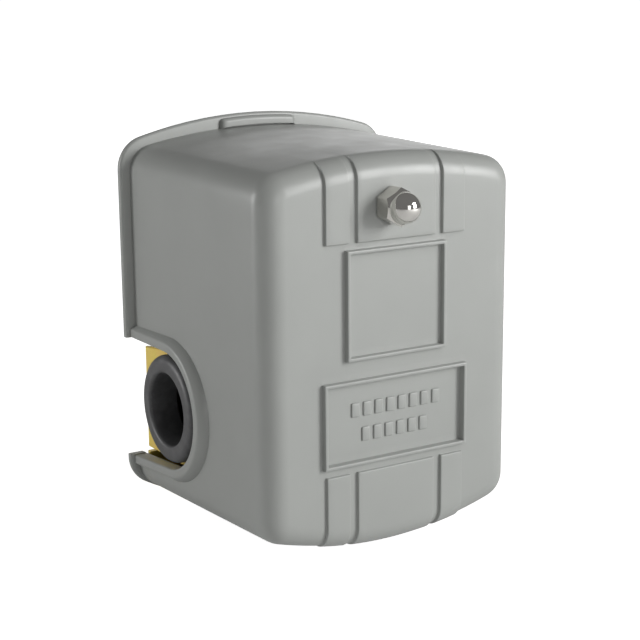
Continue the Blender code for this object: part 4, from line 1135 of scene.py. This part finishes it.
def make_terminal(index, x):
    """One terminal: a brass plate riveted through the block, a clamp and a slotted screw."""
    y, low = TERMINAL_SCREW_Y, 43.3 * MM
    high = low + MM
    hole = (2.1 * MM, 42 * MM, 46 * MM, (x, y))
    plate = soft_box((x - 5.2 * MM, -38.4 * MM, low), (x + 5.2 * MM, -23 * MM, high), 0.2 * MM)
    rivet = [(2.3 * MM * math.sin(a), high + 0.5 * MM * math.cos(a)) for a in quarter(6)]
    rivet += points_at(high, (2.3, -0.4), (1.6, -0.4))
    rivet += points_at(0, (1.6, 37.6), (2.4, 37.6), (2.5, 37.5), (2.4, 36.9), (1.8, 36.45), (0, 36.3))
    rivet = turned_mesh(rivet, (x, CONTACT_Y, 0), sides=40)
    plate = combined(plate, joins=[rivet], cuts=[cylinder_mesh(32, *hole)])
    piece(f"brass_plate_{index}", plate, "base", "brass", f"terminal_{index}")
    seat, half = high + 0.3 * MM, 3.7 * MM
    clamp = soft_box((x - half, y - half, seat), (x + half, y + half, seat + MM), 0.15 * MM)
    walls = []
    for side, _ in SIDES:
        outer = (x + side * half, y - half + 0.1 * MM, seat + 0.4 * MM)
        inner = (x + side * (half - 0.8 * MM), y + half - 0.1 * MM, seat + 1.9 * MM)
        walls.append(soft_box(outer, inner, 0.25 * MM))
    hole = (2.1 * MM, seat - MM, seat + 3 * MM, (x, y))
    clamp = combined(clamp, joins=walls, cuts=[cylinder_mesh(32, *hole)])
    piece(f"saddle_{index}", clamp, f"clamp_{index}", "plain_zinc", f"wire_clamp_{index}")
    head_low, name = seat + 1.3 * MM, f"terminal_screw_{index}"
    head_high = head_low + 2.2 * MM
    mesh = slotted_screw((x, y), 2.6 * MM, head_low, head_high, shank=1.75 * MM, tip=39.4 * MM)
    piece(f"binding_screw_{index}", mesh, name, "plain_zinc", name)


def slotted_screw(place, head, low, high, shank, tip):
    """A binding screw: a rounded cheese head with a slot, and a threaded shank."""
    x, y = place
    soft, half = 0.7 * MM, 0.45 * MM
    profile = [(0, high), (head - 1.3 * MM, high - 0.06 * MM)]
    profile += arc((head - soft, high - 0.12 * MM - soft), soft, math.radians(80), 0, 6)
    profile += [(head, low + 0.15 * MM), (head - 0.15 * MM, low), (0, low)]
    body = turned_mesh(profile, (x, y, 0), sides=56)
    slot = ((x - head - MM, y - half, high - 0.95 * MM), (x + head + MM, y + half, high + MM))
    thread = threaded_shank(place, shank, tip, low + MM, 0.7 * MM)
    return combined(body, joins=[thread], cuts=[box_mesh(slot)])


def cross_screw(place, head, low, high, shank, tip):
    """A pan-head screw with a tapered cross recess."""
    x, y = place
    drop, edge = high - low, 0.35 * MM
    profile = [(head * math.sin(a), low + edge + (drop - edge) * math.cos(a)) for a in quarter(12)]
    profile = [(r, min(z, high - 0.08 * drop * (r / head) ** 2)) for r, z in profile]
    profile += [(head, low + 0.12 * MM), (head - 0.12 * MM, low), (0, low)]
    screw = turned_mesh(profile, (x, y, 0), sides=56)
    bottom, arm, width = high - 1.15 * MM, head * 0.56, 0.42 * MM

    def outline(a, b):
        return [(-a, -b), (a, -b), (a, b), (-a, b)]

    def place_at(a, b, z):
        return (x + a, y + b, z)

    screw = combined(screw, joins=[threaded_shank(place, shank, tip, low + MM, 0.7 * MM)])
    for along, aside in ((arm, width), (width, arm)):
        at_bottom = [size * 0.45 if size == arm else width * 0.7 for size in (along, aside)]
        sections = [(outline(*at_bottom), bottom), (outline(along, aside), high)]
        sections.append((outline(along * 1.05, aside * 1.05), high + MM))
        screw = combined(screw, cuts=[loft_mesh(sections, place_at)])
    return screw


def make_cross_screws():
    shank = 1.6 * MM
    for (_, side), place in zip(SIDES, both_sides(FOOT_SCREW)):
        mesh = cross_screw(place, 3.1 * MM, 28.3 * MM, 30.4 * MM, shank, tip=21.2 * MM)
        piece(f"foot_screw_{side}", mesh, "base", "plain_zinc", f"block_screw_{side}")
    for (_, side), place in zip(SIDES, both_sides(GROUND_SCREW)):
        mesh = cross_screw(place, 3.8 * MM, PLATE_TOP + 0.3 * MM, 27.1 * MM, shank, tip=20 * MM)
        name = f"ground_screw_{side}"
        piece(f"green_screw_{side}", mesh, name, "green_paint", name)


def make_carrier():
    """The moulded bar on its pin, with a lug for the spring, and a bridging contact on each side."""
    bottom, top, half = 30.5 * MM, 33.5 * MM, 22.6 * MM
    bar = soft_box((-half, -39.6 * MM, bottom), (half, -24 * MM, top), 0.35 * MM)
    lug = soft_box((-4 * MM, -36.6 * MM, 26.9 * MM), (4 * MM, -34.6 * MM, bottom + MM), 0.3 * MM)
    low, high = (-2.6 * MM, -33.5 * MM, bottom - MM), (2.6 * MM, -20 * MM, top + MM)
    bar = combined(bar, joins=[lug], cuts=[carrier_bore(), soft_box(low, high, 0.5 * MM)])
    piece("swing_bar", bar, "contact_carrier", "tan_phenolic", "contact_carrier")
    low = top + 0.3 * MM
    button = points_at(0, (0, 36), (1.2, 35.95), (1.6, 35.7), (2.1, 35))
    button += points_at(low, (2.1, 0.5), (0, 0.5))
    for side, name in SIDES:
        inner = (side * 4.2 * MM, CONTACT_Y - 2.6 * MM, low)
        strip = soft_box(inner, (side * 22.4 * MM, CONTACT_Y + 2.6 * MM, low + MM), 0.3 * MM)
        places = [(side * x, CONTACT_Y, 0) for x in TERMINAL_X[2:]]
        mesh = combined(strip, joins=[turned_mesh(button, place, sides=40) for place in places])
        piece(f"bridge_{name}", mesh, "contact_carrier", "brass", f"bridge_contact_{name}")


def make_toggle_spring():
    """The small spring between the bar and the lever, in two halves, neither riding on a body."""
    y, z, length, wire = -34.3 * MM, 28.3 * MM, 11.4 * MM, 0.28 * MM
    coil = coil_points(1.5 * MM, wire, 0, length, 9, per_turn=24)
    points = [(a, y + along, z - b) for a, b, along in coil]
    middle = len(points) // 2
    foot, centre, top = (to_row((0, y + share * length, z)) for share in (0, 0.5, 1))
    mesh = tube_mesh(points[: middle + 1], wire, 10)
    front = piece("snap_coil_front", mesh, None, "spring_steel", "toggle_spring")
    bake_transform(front)
    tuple(foot)
    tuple(centre)
    back = piece("snap_coil_back", tube_mesh(points[middle:], wire, 10), None, "spring_steel")
    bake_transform(back)
    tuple(centre)
    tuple(top)


# ---------------------------------------------------------------- materials


class Shader:
    """Builds one material's nodes. Textures use the piece's own coordinates, in metres."""

    def __init__(self, name, colour, roughness, metallic=0.0, specular=0.5):
        self.material = bpy.data.materials.new(name)
        self.material.use_nodes = True
        self.tree = self.material.node_tree
        self.shader = self.tree.nodes["Principled BSDF"]
        self.material.diffuse_color = (*colour, 1.0)
        self.put(self.shader, "Base Color", (*colour, 1.0))
        self.put(self.shader, "Roughness", roughness)
        self.put(self.shader, "Metallic", metallic)
        self.put(self.shader, "Specular IOR Level", specular)
        self.place = self.tree.nodes.new("ShaderNodeTexCoord").outputs["Object"]

    def node(self, kind, **inputs):
        made = self.tree.nodes.new(kind)
        for key, value in inputs.items():
            self.put(made, key.replace("_", " "), value)
        return made

    def put(self, node, key, value):
        socket = node.inputs[key]
        if isinstance(value, bpy.types.NodeSocket):
            self.tree.links.new(value, socket)
        else:
            socket.default_value = value

    def stretched(self, scale):
        """The piece's coordinates times a scale per axis."""
        return self.node("ShaderNodeMapping", Vector=self.place, Scale=scale).outputs["Vector"]

    def noise(self, size, detail, roughness=0.5, stretch=(1, 1, 1)):
        """Noise whose lumps are about size across, in metres. Its middle value is 0.5."""
        place = self.stretched(tuple(s / size for s in stretch))
        made = self.node("ShaderNodeTexNoise", Vector=place, Scale=1.0, Detail=detail)
        self.put(made, "Roughness", roughness)
        return made.outputs["Fac"]

    def ranged(self, value, low, high, to_low, to_high):
        """A value's range from low to high, stretched to another range."""
        limits = {"From_Min": low, "From_Max": high, "To_Min": to_low, "To_Max": to_high}
        return self.node("ShaderNodeMapRange", Value=value, **limits).outputs["Result"]

    def mixed(self, share, one, other):
        """Two colours mixed. The Mix node's sockets share their names, so they go by number."""
        made = self.tree.nodes.new("ShaderNodeMix")
        made.data_type = "RGBA"
        self.put(made, 0, share)
        for index, value in ((6, one), (7, other)):
            if not isinstance(value, bpy.types.NodeSocket):
                value = (*value, 1.0)
            self.put(made, index, value)
        return made.outputs[2]

    def bump(self, value, height, after=None):
        """Bumps of that height, in metres."""
        made = self.node("ShaderNodeBump", Height=value, Distance=height, Strength=1.0)
        if after is not None:
            self.put(made, "Normal", after)
        return made.outputs["Normal"]

    def drive(self, **textures):
        """Lets textures set the material's inputs."""
        for key, value in textures.items():
            self.put(self.shader, key.replace("_", " "), value)


def tinted(colour, factor):
    return tuple(min(1.0, c * factor) for c in colour)


def moulded_plastic(name, colour, roughness, mottle=0.05, grain=0.012 * MM):
    """Satin moulded plastic: slow changes of colour, a fine sparked grain, and faint flow marks."""
    made = Shader(name, colour, roughness)
    slow = made.noise(18 * MM, detail=3)
    made.drive(Base_Color=made.mixed(slow, tinted(colour, 1 - mottle), tinted(colour, 1 + mottle)))
    smudge = made.noise(7 * MM, detail=4, roughness=0.6)
    made.drive(Roughness=made.ranged(smudge, 0.3, 0.7, roughness - 0.04, roughness + 0.05))
    fine = made.bump(made.noise(0.28 * MM, detail=2), grain)
    made.drive(Normal=made.bump(made.noise(9 * MM, detail=1), 0.03 * MM, after=fine))
    return made


def rubber(name, colour):
    made = Shader(name, colour, 0.42)
    dust = made.noise(3 * MM, detail=5, roughness=0.65)
    dusty = made.ranged(dust, 0.45, 0.8, 0.0, 0.6)
    made.drive(Base_Color=made.mixed(dusty, colour, tinted(colour, 2.0)))
    made.drive(Roughness=made.ranged(dust, 0.3, 0.7, 0.36, 0.5))
    made.drive(Normal=made.bump(made.noise(0.35 * MM, detail=3), 0.012 * MM))
    return made


def plated(name, colour, roughness, tint=None, streak=0.25, grain=0.004 * MM, metallic=1.0):
    """Plated steel: cloudy passivation, patches of a second tint, and fine rolling marks."""
    made = Shader(name, colour, roughness, metallic)
    cloud = made.noise(6 * MM, detail=4, roughness=0.6)
    base = made.mixed(cloud, tinted(colour, 0.86), tinted(colour, 1.1))
    if tint:
        patches = made.ranged(made.noise(9 * MM, detail=3), 0.42, 0.66, 0.0, 0.55)
        base = made.mixed(patches, base, tint)
    made.drive(Base_Color=base)
    marks = made.noise(0.6 * MM, detail=3, stretch=(1, 8, 1))
    smooth, rough = roughness * (1 - streak), roughness * (1 + streak)
    made.drive(Roughness=made.ranged(marks, 0.3, 0.7, smooth, rough))
    made.drive(Normal=made.bump(marks, grain))
    return made


def make_materials():
    """Fills finishes with a material for each slot."""
    grain, fine, finest = 0.01 * MM, 0.0015 * MM, 0.0006 * MM
    shaders = {
        "grey_plastic": moulded_plastic("moulded_grey", (0.335, 0.345, 0.33), 0.36),
        "black_rubber": rubber("bushing_rubber", (0.08, 0.08, 0.082)),
        "black_phenolic": moulded_plastic("black_phenolic", (0.022, 0.022, 0.024), 0.32, grain=grain),
        "tan_phenolic": moulded_plastic("brown_phenolic", (0.14, 0.055, 0.022), 0.35, mottle=0.2),
        "moulded_nylon": moulded_plastic("natural_nylon", (0.62, 0.58, 0.47), 0.4, mottle=0.08),
        "green_paint": plated("green_screw", (0.03, 0.3, 0.09), 0.35, (0.015, 0.14, 0.05)),
        "bright_steel": plated("bright_nickel", (0.8, 0.78, 0.74), 0.09, streak=0.35, grain=finest),
        "zinc_yellow": plated("yellow_zinc", (1.0, 0.74, 0.14), 0.36, (0.95, 0.6, 0.18), metallic=0.2),
        "plain_zinc": plated("clear_zinc", (0.6, 0.62, 0.66), 0.3, (0.62, 0.58, 0.5), grain=fine),
        "spring_steel": plated("spring_wire", (0.24, 0.24, 0.26), 0.34),
        "cast_metal": cast_zinc(),
        "brass": plated("rolled_brass", (0.72, 0.5, 0.2), 0.28, (0.6, 0.36, 0.14)),
    }
    for slot, made in shaders.items():
        finishes[slot] = made.material


def cast_zinc():
    made = Shader("cast_zinc", (0.46, 0.46, 0.45), 0.48, metallic=0.9)
    lumps = made.noise(0.9 * MM, detail=4, roughness=0.6)
    cloud = made.noise(8 * MM, detail=4)
    made.drive(Base_Color=made.mixed(cloud, (0.36, 0.36, 0.35), (0.56, 0.56, 0.54)))
    made.drive(Roughness=made.ranged(lumps, 0.3, 0.7, 0.4, 0.58))
    made.drive(Normal=made.bump(lumps, 0.035 * MM))
    return made


# ---------------------------------------------------------------- camera, lights and floor


SENSOR_WIDTH = 36
LENS = 83.7855
CAMERA_PLACE = (-199.01 * MM, -369.2 * MM, 78.67 * MM)
# Turned to the right from facing +Y, then down, then about the line of sight
CAMERA_TURN, CAMERA_DOWN, CAMERA_ROLL = (math.radians(angle) for angle in (32.27, 12.52, -0.53))
# Where each area light stands, how wide and high it is, in metres, and its power in watts
LIGHTS = {
    "key": ((0.6, -0.8, 0.32), (0.4, 0.5), 8.6),
    "front": ((-0.1, -1.05, 0.2), (0.3, 0.4), 1.3),
    "left": ((-0.82, 0.46, 0.18), (0.3, 0.4), 3.6),
    "rear_right": ((0.7, 0.85, 0.2), (0.6, 0.4), 1.1),
}
LIGHTS_AIM = (0, -0.05, 0)
SKY_SEEN = 1.05
SKY_LIGHT = 0.17
WHITE = (1, 1, 1, 1)
FLOOR_HALF = 3
FLOOR_DROP = 0.2 * MM


def placed(name, data, place, sight):
    """A camera or a light in the scene, at a place, looking along a direction."""
    obj = new_object(name, data)
    obj.location = place
    obj.rotation_mode = "QUATERNION"
    obj.rotation_quaternion = sight.to_track_quat("-Z", "Y")
    return obj


def make_camera():
    data = bpy.data.cameras.new("camera")
    data.sensor_width, data.lens = SENSOR_WIDTH, LENS
    data.clip_start, data.clip_end = 0.01, 20
    ahead = math.cos(CAMERA_DOWN)
    sight = (math.sin(CAMERA_TURN) * ahead, math.cos(CAMERA_TURN) * ahead, -math.sin(CAMERA_DOWN))
    camera = placed("camera", data, CAMERA_PLACE, Vector(sight))
    roll = Matrix.Rotation(CAMERA_ROLL, 4, "Z").to_quaternion()
    camera.rotation_quaternion = camera.rotation_quaternion @ roll
    bpy.context.scene.camera = camera


def area_light(name, place, size, power):
    data = bpy.data.lights.new(name, "AREA")
    data.shape = "RECTANGLE"
    data.size, data.size_y = size
    data.energy = power
    placed(name, data, place, Vector(LIGHTS_AIM) - Vector(place))


def white_sky(background, strength):
    """A background node's output, made white and given a strength."""
    background.inputs["Color"].default_value = WHITE
    background.inputs["Strength"].default_value = strength
    return background.outputs[0]


def make_studio():
    """Area lights, a sky that is brighter to the camera than to the object, and a pale floor."""
    scene = bpy.context.scene
    scene.view_settings.view_transform = "Standard"
    scene.world = bpy.data.worlds.new("studio")
    scene.world.use_nodes = True
    tree = scene.world.node_tree
    choice = tree.nodes.new("ShaderNodeMixShader")
    camera_ray = tree.nodes.new("ShaderNodeLightPath").outputs["Is Camera Ray"]
    seen = white_sky(tree.nodes["Background"], SKY_SEEN)
    lighting = white_sky(tree.nodes.new("ShaderNodeBackground"), SKY_LIGHT)
    for index, source in enumerate((camera_ray, lighting, seen)):
        tree.links.new(source, choice.inputs[index])
    tree.links.new(choice.outputs[0], tree.nodes["World Output"].inputs["Surface"])
    for name, (place, size, power) in LIGHTS.items():
        area_light(name, place, size, power)
    make_floor()


def make_floor():
    """The floor, which glows a little to the camera alone, so that it stays pale."""
    half = FLOOR_HALF
    corners = [(-half, -half, 0), (half, -half, 0), (half, half, 0), (-half, half, 0)]
    floor = new_object("floor", mesh_of("floor", corners, [(0, 1, 2, 3)]))
    floor.location = (0, 0, cad_box[0][2] - FLOOR_DROP)
    pale = Shader("pale_floor", (0.9, 0.9, 0.9), 0.8, specular=0.1)
    camera_ray = pale.node("ShaderNodeLightPath").outputs["Is Camera Ray"]
    pale.drive(Emission_Color=(0.85, 0.85, 0.85, 1), Emission_Strength=camera_ray)
    floor.data.materials.append(pale.material)
    floor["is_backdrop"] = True


# ---------------------------------------------------------------- making it all

make_camera()
make_studio()
make_materials()
make_cover()
make_cap_nut()
make_grommets()
make_base_plate()
make_housing()
make_housing_screws()
make_diaphragm()
make_piston()
make_stud(
    "range", RANGE, radius=2.5 * MM, collar=3.9 * MM, top=94.8 * MM, pitch=0.8 * MM, riveted=True
)
make_stud(
    "differential", DIFFERENTIAL, radius=2.0 * MM, collar=3.0 * MM, top=60.9 * MM, pitch=0.7 * MM,
    riveted=False,
)
make_pin("pivot_pin", "lever_pin", 1.45 * MM, 2.3 * MM, 22.6 * MM, PIVOT_Y, PIVOT_Z)
make_pin("swing_pin", "carrier_pin", 1.0 * MM, 1.6 * MM, 28 * MM, CARRIER_Y, CARRIER_Z)
make_lever()
make_adjuster(
    "range", RANGE, coil_radius=8.3 * MM, wire=1.2 * MM, spring_top=60 * MM, turns=7,
    bore=2.8 * MM, flats=9.5 * MM,
)
make_adjuster(
    "differential", DIFFERENTIAL, coil_radius=4.6 * MM, wire=0.6 * MM, spring_top=51 * MM, turns=8,
    bore=2.3 * MM, flats=8 * MM,
)
make_terminal_block()
for index, x in enumerate(TERMINAL_X, 1):
    make_terminal(index, x)
make_carrier()
make_toggle_spring()
make_cross_screws()
slots = {part["node"]: part["material_slot"] for part in frame["record"]["subparts"]}
for node, obj in frame["nodes"].items():
    obj.data.materials.clear()
    obj.data.materials.append(finishes[slots[node]])

visual_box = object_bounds()
boxes = {"cad": cad_box, "visual": visual_box}
{key: [list(corner) for corner in box] for key, box in boxes.items()}
